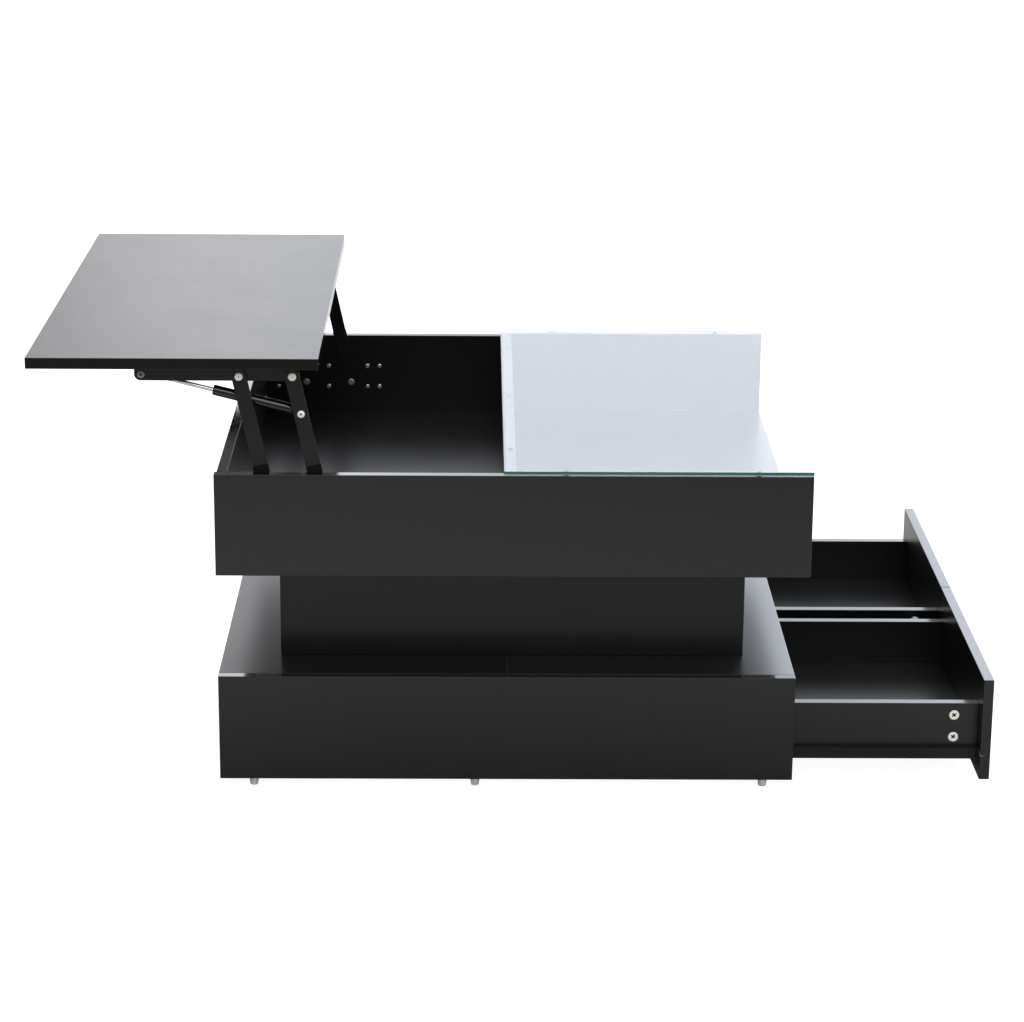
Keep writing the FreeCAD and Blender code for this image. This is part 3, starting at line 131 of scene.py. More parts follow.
class Graph:
    """The nodes of one material or world."""

    def __init__(self, owner: "bpy.types.Material | bpy.types.World") -> None:
        """Start an empty tree.

        Args:
            owner: the material or world that the tree belongs to.
        """
        owner.use_nodes = True
        self.tree = owner.node_tree
        self.tree.nodes.clear()

    @staticmethod
    def find(sockets: "bpy.types.NodeInputs | bpy.types.NodeOutputs",
             name: str) -> bpy.types.NodeSocket:
        """A socket by its identifier, or else by its name."""
        return next((s for s in sockets if s.identifier == name), None) or sockets[name]

    def node(self, kind: str, settings: "dict | None" = None, values: "dict | None" = None,
             out: "str | None" = None) -> Signal:
        """Add one node.

        Args:
            kind: the node's type.
            settings: its own settings, set first.
            values: numbers, colours or signals for its sockets.
            out: the output to return, or None for the first.

        Returns:
            The chosen output.
        """
        made = self.tree.nodes.new(kind)
        for name, setting in (settings or {}).items():
            setattr(made, name, setting)
        for name, value in (values or {}).items():
            socket = self.find(made.inputs, name)
            if isinstance(value, Signal):
                self.tree.links.new(value.socket, socket)
            elif isinstance(value, tuple) and socket.type == "RGBA":
                socket.default_value = (*value, 1.0)
            else:
                socket.default_value = value
        return Signal(self, self.find(made.outputs, out) if out else made.outputs[0])

    def place(self) -> Signal:
        """Object coordinates, in metres."""
        return self.node("ShaderNodeTexCoord", out="Object")

    def facing(self) -> Signal:
        """The surface's own normal, in the object's frame."""
        return self.node("ShaderNodeTexCoord", out="Normal")

    def stretched(self, place: Signal, scale: Place) -> Signal:
        """Coordinates multiplied along each axis."""
        return self.node("ShaderNodeVectorMath", {"operation": "MULTIPLY"},
                         {"Vector": place, "Vector_001": scale})

    def noise(self, place: Signal, scale: float, detail: float = 2.0,
              roughness: float = 0.5) -> Signal:
        """Soft noise, about 0.5, with features 1/scale metres wide."""
        return self.node("ShaderNodeTexNoise", None,
                         {"Vector": place, "Scale": scale, "Detail": detail,
                          "Roughness": roughness}, out="Fac")

    def cells(self, place: Signal, scale: float) -> Signal:
        """Distance to scattered points, in cells 1/scale metres wide."""
        return self.node("ShaderNodeTexVoronoi", None, {"Vector": place, "Scale": scale},
                         out="Distance")

    def mix(self, factor: "Signal | float", first: "Signal | Colour",
            second: "Signal | Colour", blend: str = "MIX") -> Signal:
        """A blend of two colours; the factor may pass 1."""
        return self.node("ShaderNodeMix", {"data_type": "RGBA", "clamp_factor": False,
                                           "blend_type": blend},
                         {"Factor_Float": factor, "A_Color": first, "B_Color": second},
                         out="Result_Color")

    def recess(self) -> Signal:
        """How deep in its recess a point of a fastener lies, from 0 to 1; 0 on other pieces."""
        return self.node("ShaderNodeAttribute", {"attribute_name": RECESS}, out="Fac")

    def bump(self, height: Signal, depth: float, strength: float,
             under: "Signal | None" = None) -> Signal:
        """A normal bent by a height field.

        Args:
            height: the field, from 0 to 1.
            depth: metres from its lowest to its highest point.
            strength: share of the effect.
            under: an earlier bump that this one lies on.

        Returns:
            The normal.
        """
        values = {"Height": height, "Distance": depth, "Strength": strength}
        if under is not None:
            values["Normal"] = under
        return self.node("ShaderNodeBump", None, values)

    def split(self, vector: Signal) -> Signal:
        """A vector's X, Y and Z, taken with out()."""
        return self.node("ShaderNodeSeparateXYZ", None, {"Vector": vector})

    def surface(self, values: dict) -> None:
        """End the tree with a Principled shader that has these values on its sockets."""
        shader = self.node("ShaderNodeBsdfPrincipled", None, values)
        self.node_end("ShaderNodeOutputMaterial", {"Surface": shader})

    def node_end(self, kind: str, values: "dict[str, Signal]") -> None:
        """Add an output node, which has no output socket of its own.

        Args:
            kind: the node's type.
            values: the signals for its sockets.
        """
        made = self.tree.nodes.new(kind)
        for name, value in values.items():
            self.tree.links.new(value.socket, made.inputs[name])


# ------------------------------------------------------------------ finishes
class Lay(Enum):
    """Which way a board is thin, so that its faces and its banded edges are told apart."""

    ACROSS_X = 0
    ACROSS_Y = 1
    ACROSS_Z = 2


@dataclass(frozen=True)
class Finish:
    """A named finish that makes its material once."""

    name: str

    def material(self) -> bpy.types.Material:
        """The finish's material, made the first time that it is asked for.

        Returns:
            The material.
        """
        title = f"{self.name}_finish"
        found = bpy.data.materials.get(title)
        if found is None:
            found = bpy.data.materials.new(title)
            self.paint(Graph(found))
        return found

    def paint(self, graph: Graph) -> None:
        """Fill the material's nodes."""
        raise NotImplementedError


@dataclass(frozen=True)
class Laminate(Finish):
    """Satin black melamine foil on particle board, with glossy plastic edge bands."""

    lay: Lay
    centre: Place
    half: Place
    gloss: float = 0.51
    band_roughness: float = 0.085
    face_coat: float = 0.0
    coat_from: float = 0.0
    coat_roughness: float = 0.06
    face: Colour = (0.0017, 0.0019, 0.0021)
    face_light: Colour = (0.0027, 0.0030, 0.0032)
    band_coat: float = 0.42
    band: Colour = (0.0022, 0.0020, 0.0017)
    face_roughness: float = 0.297
    chips_dark: Colour = (0.34, 0.25, 0.16)
    chips_light: Colour = (0.66, 0.54, 0.40)
    chips_roughness: float = 0.9
    skin_depth: float = 0.0003
    coat_ease: float = 0.02
    face_span: Span = (0.55, 0.85)
    top_span: Span = (0.6, 0.95)
    tone_span: Span = (0.35, 0.68)
    cloud_scale: float = 9.0
    mottle_scale: float = 70.0
    grain_scale: float = 420.0
    chip_scale: float = 620.0
    swell_scale: float = 14.0
    swell_depth: float = 0.00015
    emboss_scale: float = 650.0
    emboss_depth: float = 0.000004

    def paint(self, graph: Graph) -> None:
        """Cloudy black with a fine emboss; the bands are smoother and a little warmer, and
        those on top, which hands wipe, the glossiest. A face may have a coat of polish beyond
        a given x, where the board lies open.

        A point deeper inside the board than its skin, from all six sides, lies in a hole or a
        groove, and shows the raw chips.

        Args:
            graph: the material's nodes.
        """
        place = graph.place()
        facing = graph.split(graph.facing())
        flat = abs(facing.out("XYZ"[self.lay.value])).between(*self.face_span)
        spot = graph.split(place)
        raw = None
        for name, middle, reach in zip("XYZ", self.centre, self.half):
            deep = abs(spot.out(name) - middle).between(reach - 2 * self.skin_depth,
                                                        reach - self.skin_depth, 1.0, 0.0)
            raw = deep if raw is None else raw * deep
        cloud = graph.noise(place, self.cloud_scale, 3.0, 0.55)
        mottle = graph.noise(graph.stretched(place, (1.0, 1.0, 0.45)), self.mottle_scale, 3.0,
                             0.6)
        grain = graph.noise(place, self.grain_scale, 2.0, 0.6)
        tone = (cloud * 0.55 + mottle * 0.35 + grain * 0.1).between(*self.tone_span)
        foil = graph.mix(tone, self.face, self.face_light)
        chips = graph.mix(graph.cells(place, self.chip_scale).between(0.1, 0.6),
                          self.chips_light, self.chips_dark)
        colour = graph.mix(raw, graph.mix(flat, self.band, foil), chips)
        polish = ((cloud - 0.5) * 0.05 + (mottle - 0.5) * 0.03) * flat
        smooth = flat.between(0.0, 1.0, self.band_roughness, self.face_roughness) + polish
        rough = smooth * (1.0 - raw) + raw * self.chips_roughness
        swell = graph.bump(graph.noise(place, self.swell_scale, 2.0) * flat, self.swell_depth,
                           0.3)
        emboss = graph.bump(graph.noise(place, self.emboss_scale, 2.0, 0.5) * flat,
                            self.emboss_depth, 0.12, swell)
        wiped = facing.out("Z").between(*self.top_span) * (1.0 - flat)
        open_side = spot.out("X").between(self.coat_from,
                                          self.coat_from + self.coat_ease) * flat
        coat = (wiped * self.band_coat + open_side * self.face_coat) * (1.0 - raw)
        graph.surface({"Base Color": colour, "Roughness": rough, "Normal": emboss,
                       "Specular IOR Level": self.gloss, "Coat Weight": coat,
                       "Coat Roughness": self.coat_roughness})


@dataclass(frozen=True)
class Paint(Finish):
    """Black paint or powder on steel."""

    dark: Colour = (0.0018, 0.0018, 0.0018)
    light: Colour = (0.0030, 0.0030, 0.0030)
    roughness: float = 0.315
    gloss: float = 0.37
    peel: float = 700.0
    peel_depth: float = 0.00003
    coat: float = 0.0
    coat_roughness: float = 0.06
    cloud_scale: float = 30.0

    def paint(self, graph: Graph) -> None:
        """Even black with the fine orange peel of a sprayed coat.

        Args:
            graph: the material's nodes.
        """
        place = graph.place()
        cloud = graph.noise(place, self.cloud_scale, 3.0)
        peel = graph.noise(place, self.peel, 2.0, 0.55)
        colour = graph.mix(cloud.between(0.3, 0.7), self.dark, self.light)
        rough = self.roughness + (cloud - 0.5) * 0.08
        graph.surface({"Base Color": colour, "Roughness": rough,
                       "Normal": graph.bump(peel, self.peel_depth, 0.6),
                       "Specular IOR Level": self.gloss, "Coat Weight": self.coat,
                       "Coat Roughness": self.coat_roughness})


@dataclass(frozen=True)
class Metal(Finish):
    """Bare or plated metal."""

    dark: Colour
    light: Colour
    roughness: float
    grain: Place = (900.0, 900.0, 900.0)
    depth: float = 0.00002
    # Near black painted shade inside a fastener's recess.
    hole: Colour = (0.004, 0.004, 0.004)
    painted_recess_shade_span: Span = (0.15, 0.75)
    metal: float = 1.0
    patch_scale: float = 160.0

    def paint(self, graph: Graph) -> None:
        """Plating with a fine grain and dull patches, with painted shade inside a recess, where it
        turns near black and not metallic.

        Args:
            graph: the material's nodes.
        """
        place = graph.place()
        grain = graph.noise(graph.stretched(place, self.grain), 1.0, 3.0, 0.6)
        dull = graph.noise(place, self.patch_scale, 2.0)
        plate = graph.mix((grain * 0.6 + dull * 0.4).between(0.3, 0.7), self.dark, self.light)
        # Painted shade: inside the recess the plating turns near black and loses its metal.
        inside = graph.recess().between(*self.painted_recess_shade_span)
        colour = graph.mix(inside, plate, self.hole)
        rough = self.roughness + (dull - 0.5) * 0.16
        graph.surface({"Base Color": colour, "Metallic": (1.0 - inside) * self.metal,
                       "Roughness": rough, "Normal": graph.bump(grain, self.depth, 0.6)})


@dataclass(frozen=True)
class Plastic(Finish):
    """Moulded plastic, clear when it lets light through."""

    dark: Colour
    light: Colour
    roughness: float
    clear: float = 0.0
    refraction: float = 1.49
    flow_scale: float = 140.0
    mould_scale: float = 1500.0
    mould_depth: float = 0.00001

    def paint(self, graph: Graph) -> None:
        """Even colour with a faint flow pattern and a fine mould grain.

        Args:
            graph: the material's nodes.
        """
        place = graph.place()
        flow = graph.noise(place, self.flow_scale, 3.0)
        grain = graph.noise(place, self.mould_scale, 2.0)
        colour = graph.mix(flow.between(0.3, 0.7), self.dark, self.light)
        rough = self.roughness + (flow - 0.5) * 0.10
        graph.surface({"Base Color": colour, "Roughness": rough,
                       "Transmission Weight": self.clear, "IOR": self.refraction,
                       "Normal": graph.bump(grain, self.mould_depth, 0.5)})


@dataclass(frozen=True)
class Hardboard(Finish):
    """Thin drawer board with a printed black face."""

    dark: Colour = (0.0024, 0.0027, 0.0030)
    light: Colour = (0.0050, 0.0054, 0.0060)
    roughness: float = 0.30
    gloss: float = 0.33
    fibres: Place = (260.0, 520.0, 520.0)
    fibre_depth: float = 0.000004
    cloud_scale: float = 11.0

    def paint(self, graph: Graph) -> None:
        """Black print over pressed fibres.

        Args:
            graph: the material's nodes.
        """
        place = graph.place()
        fibre = graph.noise(graph.stretched(place, self.fibres), 1.0, 4.0, 0.65)
        cloud = graph.noise(place, self.cloud_scale, 3.0)
        colour = graph.mix((fibre * 0.5 + cloud * 0.5).between(0.35, 0.65), self.dark, self.light)
        graph.surface({"Base Color": colour, "Roughness": self.roughness + (cloud - 0.5) * 0.06,
                       "Specular IOR Level": self.gloss,
                       "Normal": graph.bump(fibre, self.fibre_depth, 0.3)})


@dataclass(frozen=True)
class Glass(Finish):
    """Float glass with a trace of handling."""

    clean: Colour = (0.985, 0.995, 1.0)
    handled: Colour = (0.975, 0.988, 0.992)
    film: float = 0.004
    film_span: Span = (0.55, 0.85)
    smears: Place = (7.0, 12.0, 7.0)
    refraction: float = 1.52

    def paint(self, graph: Graph) -> None:
        """Clear, a little hazy where hands have been.

        Args:
            graph: the material's nodes.
        """
        place = graph.place()
        smear = graph.noise(graph.stretched(place, self.smears), 1.0, 4.0, 0.6)
        haze = smear.between(*self.film_span, 0.0, self.film)
        colour = graph.mix(smear.between(0.4, 0.8), self.clean, self.handled)
        graph.surface({"Base Color": colour, "Roughness": haze, "IOR": self.refraction,
                       "Transmission Weight": 1.0})


@dataclass(frozen=True)
class GlassEdge(Finish):
    """The ground and polished rim of the glass, deep green because light comes far through it."""

    deep: Colour = (0.015, 0.078, 0.062)
    bright: Colour = (0.026, 0.122, 0.100)
    # Pale colour of the painted highlight along the rim's lower arris.
    arris: Colour = (0.42, 0.50, 0.48)
    painted_glint_top: float = 0.4743
    painted_glint_ease: float = 0.0002
    streaks: Place = (9.0, 9.0, 900.0)
    roughness: float = 0.12
    gloss: float = 0.5

    def paint(self, graph: Graph) -> None:
        """Green streaked along the rim, under a polish; a pale painted highlight lies along the
        lower arris.

        Args:
            graph: the material's nodes.
        """
        place = graph.place()
        streak = graph.noise(graph.stretched(place, self.streaks), 1.0, 3.0, 0.6)
        depth = graph.mix(streak.between(0.3, 0.7), self.deep, self.bright)
        # Painted highlight: the rim is pale below this height, along the lower arris.
        low = graph.split(place).out("Z").between(self.painted_glint_top - self.painted_glint_ease,
                                                  self.painted_glint_top + self.painted_glint_ease, 1.0, 0.0)
        colour = graph.mix(low, depth, self.arris)
        graph.surface({"Base Color": colour, "Roughness": self.roughness + (streak - 0.5) * 0.05,
                       "Specular IOR Level": self.gloss})


@dataclass(frozen=True)
class StudioFloor(Finish):
    """Seamless pale studio floor, made white where it is looked at by an even glow; what it sends
    back to the table is painted light and shade.
    """

    shown: Colour = (0.30, 0.30, 0.30)
    glow: float = 0.95
    # Levels of the painted light sent back to the table: painted shadow beside the table, a
    # painted pool of light further off, painted dimming far away, more painted light behind it,
    # and a painted slope across x.
    painted_shadow_level: float = 0.37
    lit: float = 0.62
    far: float = 0.12
    behind: float = 0.45
    painted_slope: float = 0.045
    tint: Colour = (1.0, 1.0, 0.95)
    painted_shadow_span: Span = (0.45, 1.5)
    far_span: Span = (1.9, 2.8)
    painted_slope_span: Span = (-0.8, 0.8)
    behind_span: Span = (0.9, 1.9)
    roughness: float = 0.85
    scuff_scale: float = 1.5

    def paint(self, graph: Graph) -> None:
        """Matt white with a trace of scuffing. What it returns to the table's sides is painted
        light and shade: a painted shadow of the table close to it, painted light that rises away
        from the table and falls off again at a distance, more painted light behind the table, and
        a faint painted slope that is lighter to the left.

        Args:
            graph: the material's nodes.
        """
        place = graph.place()
        scuff = graph.noise(place, self.scuff_scale, 3.0)
        away = graph.node("ShaderNodeVectorMath", {"operation": "LENGTH"}, {"Vector": place},
                          out="Value")
        spot = graph.split(place)
        # Painted light and shade that the table's surfaces see in the floor; the camera sees the
        # even glow instead.
        painted_light_map = (away.between(*self.painted_shadow_span, self.painted_shadow_level, self.lit)
                    - away.between(*self.far_span, 0.0, self.lit - self.far)
                    + spot.out("X").between(*self.painted_slope_span, self.painted_slope, -self.painted_slope)
                    + spot.out("Y").between(*self.behind_span, 0.0, self.behind))
        painted_light_colour = graph.mix(painted_light_map, BLACK, self.tint)
        seen = graph.node("ShaderNodeLightPath", out="Is Camera Ray")
        colour = graph.mix(seen, painted_light_colour, self.shown)
        glow = graph.mix(seen * self.glow, BLACK, WHITE)
        graph.surface({"Base Color": colour, "Roughness": self.roughness + (scuff - 0.5) * 0.1,
                       "Specular IOR Level": 0.0, "Emission Color": glow,
                       "Emission Strength": 1.0})


JOINT_STRIP = Paint("joint_strip", dark=(0.011, 0.011, 0.012), light=(0.017, 0.017, 0.018),
                    roughness=0.45, peel=1200.0)
LIFT_STEEL = Paint("lift_steel", gloss=0.38)
# A dark sheet of painted shade for the feet of the arms.
SHADE_SLEEVE = Paint("arm_shade_sleeve", dark=(0.0016, 0.0016, 0.0017), light=(0.0026, 0.0026, 0.0027),
               roughness=0.7, gloss=0.2, peel=1500.0)
STRUT_TUBE = Paint("strut_tube", dark=(0.0018, 0.0018, 0.0020), light=(0.0030, 0.0030, 0.0033),
                   roughness=0.16, peel=350.0, peel_depth=0.000004, coat=0.25)
RUNNER_STEEL = Paint("runner_steel", roughness=0.34, peel=900.0)
RIVET_STEEL = Metal("rivet_steel", (0.82, 0.76, 0.68), (0.95, 0.90, 0.83), roughness=0.50,
                    metal=0.4)
DULL_STEEL = Metal("dull_rivet_steel", (0.21, 0.20, 0.18), (0.34, 0.32, 0.29), roughness=0.46,
                   metal=0.6)
ROD_STEEL = Metal("strut_rod_steel", (0.50, 0.51, 0.53), (0.72, 0.73, 0.75), roughness=0.09,
                  grain=(60.0, 2600.0, 2600.0), depth=0.000003)
CAM_ZINC = Metal("cam_zinc", (0.92, 0.90, 0.81), (0.99, 0.98, 0.91), roughness=0.50, metal=0.3)
BOLT_STEEL = Metal("bolt_steel", (0.50, 0.48, 0.42), (0.70, 0.67, 0.58), roughness=0.30)
SCREW_STEEL = Metal("screw_steel", (0.40, 0.41, 0.42), (0.62, 0.63, 0.64), roughness=0.34,
                    metal=0.8)
GLIDE = Plastic("glide_plastic", (0.62, 0.70, 0.80), (0.80, 0.86, 0.93), roughness=0.30,
                clear=0.35)
BUMPER = Plastic("clear_bumper", (0.93, 0.95, 0.96), (0.98, 0.99, 0.99), roughness=0.10,
                 clear=0.88)
ROLLER = Plastic("roller_plastic", (0.74, 0.74, 0.71), (0.84, 0.84, 0.81), roughness=0.38)
DRAWER_BOTTOM = Hardboard("drawer_bottom_board")
CLEAR_GLASS = Glass("clear_glass")
GLASS_EDGE = GlassEdge("glass_edge")
FLOOR = StudioFloor("studio_floor")


def dress(node: str, finish: Finish) -> None:
    """Give a carried-over solid its finish.

    Args:
        node: the solid's name.
        finish: the finish for all of it.
    """
    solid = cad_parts[node]
    while len(solid.material_slots) < 1:
        solid.data.materials.append(None)
    for slot in solid.material_slots:
        slot.material = finish.material()


def dress_board(node: str, lay: Lay, **traits: float) -> None:
    """Give a board its laminate, which knows how far the board reaches.

    Args:
        node: the board's name.
        lay: the axis that it is thin along.
        traits: what sets its laminate apart from the others.
    """
    low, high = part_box(node)
    centre, half = tuple((low + high) / 2), tuple((high - low) / 2)
    dress(node, Laminate(f"laminate_{node}", lay, centre, half, **traits))


# ------------------------------------------------------------------ surfaces on a grid
def skin(name: str, grids: np.ndarray, shares: "np.ndarray | None" = None,
         closed_rows: bool = False, closed_columns: bool = True) -> bpy.types.Object:
    """A mesh of quads over one or more grids of points: quad (i, j) joins (i, j), (i+1, j),
    (i+1, j+1) and (i, j+1), wrapping round where a direction is closed.

    Args:
        name: the object's name.
        grids: array of pieces by rows by columns by 3.
        shares: recess share of each point, for fasteners.
        closed_rows: whether the last row joins the first.
        closed_columns: whether the last column joins the first.

    Returns:
        The linked object, with seams and poles merged and faces turned outward.
    """
    pieces, rows, columns = grids.shape[:3]
    i, j = np.meshgrid(np.arange(rows - (not closed_rows)),
                       np.arange(columns - (not closed_columns)), indexing="ij")
    below, right = (i + 1) % rows, (j + 1) % columns
    quads = np.stack([i * columns + j, below * columns + j, below * columns + right,
                      i * columns + right], axis=-1).reshape(-1, 4)
    steps = np.arange(pieces)[:, None, None] * (rows * columns)
    faces = (quads[None] + steps).reshape(-1, 4)
    mesh = bpy.data.meshes.new(name)
    mesh.from_pydata(grids.reshape(-1, 3).tolist(), [], faces.tolist())
    if shares is not None:
        layer = mesh.attributes.new(RECESS, "FLOAT", "POINT")
        layer.data.foreach_set("value", shares.reshape(-1).astype(np.float32))
    thing = bpy.data.objects.new(name, mesh)
    bpy.context.scene.collection.objects.link(thing)
    if closed_columns:
        shell = bmesh.new()
        shell.from_mesh(mesh)
        bmesh.ops.remove_doubles(shell, verts=shell.verts, dist=MERGE)
        bmesh.ops.recalc_face_normals(shell, faces=shell.faces)
        shell.to_mesh(mesh)
        shell.free()
    return thing


def rounded_rectangle(half_a: float, half_b: float, corner: float,
                      steps: int = 7) -> np.ndarray:
    """A closed loop of points: each corner's centre plus its radius times (cos t, sin t),
    with t running over that corner's quarter turn.

    Args:
        half_a: half of the width.
        half_b: half of the height.
        corner: corner radius.
        steps: points to a corner.

    Returns:
        Array of points by 2.
    """
    quarter = np.linspace(0.0, math.pi / 2, steps)
    turn = (quarter[None] + (math.pi / 2) * np.arange(4)[:, None]).reshape(-1)
    sign_a = np.repeat([1.0, -1.0, -1.0, 1.0], steps)
    sign_b = np.repeat([1.0, 1.0, -1.0, -1.0], steps)
    return np.stack([sign_a * (half_a - corner) + corner * np.cos(turn),
                     sign_b * (half_b - corner) + corner * np.sin(turn)], axis=-1)


class Drive(Enum):
    """What is cut or pressed into the face of a round fastener."""

    CROSS = "cross"
    HOLLOW = "hollow"


@dataclass(frozen=True)
class Fastener:
    """A turned fastener, in millimetres, built up along its axis from its face.

    A step is (length, first radius, last radius). The reach, the width of a limb and the depth
    are the drive's, the dome is how far the face rises at its middle, and the grid has `rings`
    rows over the face and `columns` points round it.
    """

    steps: "tuple[tuple[float, float, float], ...]"
    drive: Drive
    reach: float
    depth: float
    width: float = 0.0
    dome: float = 0.0
    rings: int = 18
    columns: int = 60
    ease: float = 0.1
    narrowing: float = 0.67

    def share(self, across: np.ndarray, up: np.ndarray) -> np.ndarray:
        """Share of the recess's depth at points of the face.

        A hollow is 1 inside its reach. A cross is the larger of two limbs; a limb is 1 where
        the distance along it is below the reach and the distance across it is below half the
        width, which narrows to a third towards the tip. Both ease to 0 over a tenth of the
        reach.

        Args:
            across: the points' distances from the middle along the first limb.
            up: their distances along the second.

        Returns:
            The share of each point, from 0 to 1.
        """
        ease = self.ease * self.reach

        def inside(room: np.ndarray) -> np.ndarray:
            """1 where there is room to the limit, 0 beyond it."""
            return np.clip(room / ease + 0.5, 0.0, 1.0)

        if self.drive is Drive.HOLLOW:
            return inside(self.reach - np.hypot(across, up))

        def limb(along: np.ndarray, aside: np.ndarray) -> np.ndarray:
            """One limb of the cross."""
            taper = 1.0 - self.narrowing * np.clip(np.abs(along) / self.reach, 0.0, 1.0)
            return (inside(self.reach - np.abs(along))
                    * inside(self.width / 2 * taper - np.abs(aside)))

        return np.maximum(limb(across, up), limb(up, across))

    def grid(self, start: Place, axis: Place,
             turn: float) -> "tuple[np.ndarray, np.ndarray]":
        """Points and recess shares of one fastener.

        A point is start + axis * height + radius * (side * cos t + top * sin t). Over the face
        the height is the recess's depth times its share, less the dome times (1 - (radius /
        face radius) squared); beyond it, radius and height follow the steps.

        Args:
            start: centre of the face, in millimetres.
            axis: unit vector from the face into the work.
            turn: radians by which the drive is turned.

        Returns:
            Points in metres, rows by columns by 3, and shares, rows by columns.
        """
        face_radius = self.steps[0][1]
        radius = list(np.linspace(0.0, face_radius, self.rings))
        height, level = [0.0] * self.rings, 0.0
        for length, first, last in self.steps:
            radius += [first, last]
            height += [level, level + length]
            level += length
        radius, height = np.array(radius + [0.0]), np.array(height + [level])
        angle = np.linspace(0.0, 2 * math.pi, self.columns, endpoint=False)
        rings = radius[:, None]
        on_face = (np.arange(len(radius)) < self.rings)[:, None]
        share = self.share(rings * np.cos(angle - turn), rings * np.sin(angle - turn)) * on_face
        crown = self.dome * (1.0 - (rings / face_radius) ** 2) * on_face
        rise = height[:, None] + self.depth * share - crown
        way = np.array(axis)
        top = np.array((0.0, 0.0, 1.0))
        side = np.cross(top, way)
        points = (np.array(start) + rise[..., None] * way
                  + (rings * np.cos(angle))[..., None] * side
                  + (rings * np.sin(angle))[..., None] * top)
        return points * MM, share


def fasten(name: str, body: str, kind: Fastener, finish: Finish,
           places: "list[tuple[Place, Place]]", node: str) -> None:
    """Make one piece of several equal fasteners, in place of a carried-over solid.

    Args:
        name: the piece's name.
        body: the body that it rides on.
        kind: the fastener.
        finish: its finish.
        places: (centre of the face, axis) of each, in millimetres.
        node: the solid that it replaces.
    """
    turns = [FIRST_TURN + TURN_STEP * number for number in range(len(places))]
    made = [kind.grid(start, axis, turn) for (start, axis), turn in zip(places, turns)]
    piece = skin(name, np.stack([points for points, _ in made]),
                 np.stack([share for _, share in made]))
    piece.data.materials.append(finish.material())
    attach(piece, body)
    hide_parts(node)


# ------------------------------------------------------------------ sub-assemblies
@dataclass
class Carcass:
    """Base, pedestal and tray: the fixed boards and their fittings.

    The traits set a board's laminate apart where its foil or its bands shine more or less.
    """

    upright_along: "tuple[str, ...]" = (
        "base_front_panel", "base_back_panel", "base_partition", "pedestal_front_panel",
        "pedestal_back_panel", "tray_front_panel", "tray_back_panel")
    upright_across: "tuple[str, ...]" = (
        "base_left_panel", "base_cross_panel", "pedestal_left_panel", "pedestal_right_panel",
        "tray_left_panel", "tray_divider")
    level: "tuple[str, ...]" = ("base_top_left", "base_top_right", "tray_bottom_panel")
    traits: "dict[str, dict[str, float]]" = field(default_factory=lambda: {
        # Painted shade: the pedestal front shines less, standing in for the shade under the tray's
        # overhang.
        "pedestal_front_panel": {"gloss": 0.36},
        "base_top_left": {"gloss": 0.34},
        "base_top_right": {"face_coat": 0.8, "coat_from": 0.335, "coat_roughness": 0.22},
        "tray_left_panel": {"gloss": 0.22},
        "tray_back_panel": {"band_coat": 0.0, "gloss": 0.40},
        "tray_divider": {"band_coat": 0.0, "gloss": 0.42}})

    def boards(self) -> None:
        """Laminate on every fixed board."""
        for lay, names in ((Lay.ACROSS_Y, self.upright_along), (Lay.ACROSS_X, self.upright_across),
                           (Lay.ACROSS_Z, self.level)):
            for name in names:
                dress_board(name, lay, **self.traits.get(name, {}))

    def fittings(self) -> None:
        """The joint strip, the glides, the knock-down fittings and the runners' channels."""
        for name, finish in (("base_top_joint_strip", JOINT_STRIP), ("floor_glides", GLIDE),
                             ("carcass_cams", CAM_ZINC), ("carcass_bolts", BOLT_STEEL),
                             ("carcass_screws", SCREW_STEEL), ("base_channels", RUNNER_STEEL)):
            dress(name, finish)

    def build(self) -> None:
        """Boards, then fittings."""
        self.boards()
        self.fittings()


@dataclass
class DisplayGlass:
    """The glass top, its polished rim and the clear bumpers that it lies on; millimetres."""

    left: float = -6.5
    right: float = 433.0
    half_depth: float = 425.0
    low: float = 473.5
    high: float = 478.5
    corner: float = 2.0
    arris: float = 0.2
    rim: float = 0.05

    def outline(self, inset: float) -> np.ndarray:
        """The pane's outline in x and y, pulled in by the inset."""
        loop = rounded_rectangle((self.right - self.left) / 2 - inset, self.half_depth - inset,
                                 self.corner - inset)
        return loop + np.array(((self.left + self.right) / 2, 0.0))

    def rings(self, profile: "list[tuple[float, float]]") -> np.ndarray:
        """One grid: row k is the outline pulled in by the profile's k-th inset, at its k-th
        height, so the profile is carried round the outline.

        Args:
            profile: (inset, height) pairs, in millimetres.

        Returns:
            Array of rows by columns by 3, in metres.
        """
        rows = [np.column_stack([self.outline(inset), np.full(len(self.outline(inset)), z)])
                for inset, z in profile]
        return np.stack(rows) * MM

    def pane(self) -> None:
        """The clear slab: the profile runs down its side with an arris at each end, and both
        faces close to the middle point."""
        skin_in = 2 * self.rim
        rows = self.rings([(skin_in + self.arris, self.low), (skin_in, self.low + self.arris),
                           (skin_in, self.high - self.arris), (skin_in + self.arris, self.high)])
        middle = (self.left + self.right) / 2 * MM
        poles = [np.broadcast_to(np.array((middle, 0.0, z * MM)), rows[0].shape)
                 for z in (self.low, self.high)]
        piece = skin("glass_pane", np.concatenate([poles[:1], rows, poles[1:]])[None])
        piece.data.materials.append(CLEAR_GLASS.material())
        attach(piece, "table")
        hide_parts("glass_top")

    def polished_rim(self) -> None:
        """The green rim: a thin upright band carried round the outline, just off the slab."""
        low, high = self.low + self.arris, self.high - self.arris
        loop = [(0.0, low), (0.0, high), (self.rim, high), (self.rim, low)]
        piece = skin("glass_rim", self.rings(loop)[None], closed_rows=True)
        piece.data.materials.append(GLASS_EDGE.material())
        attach(piece, "table")

    def build(self) -> None:
        """Pane, rim and bumpers."""
        self.pane()
        self.polished_rim()
        dress("glass_bumpers", BUMPER)


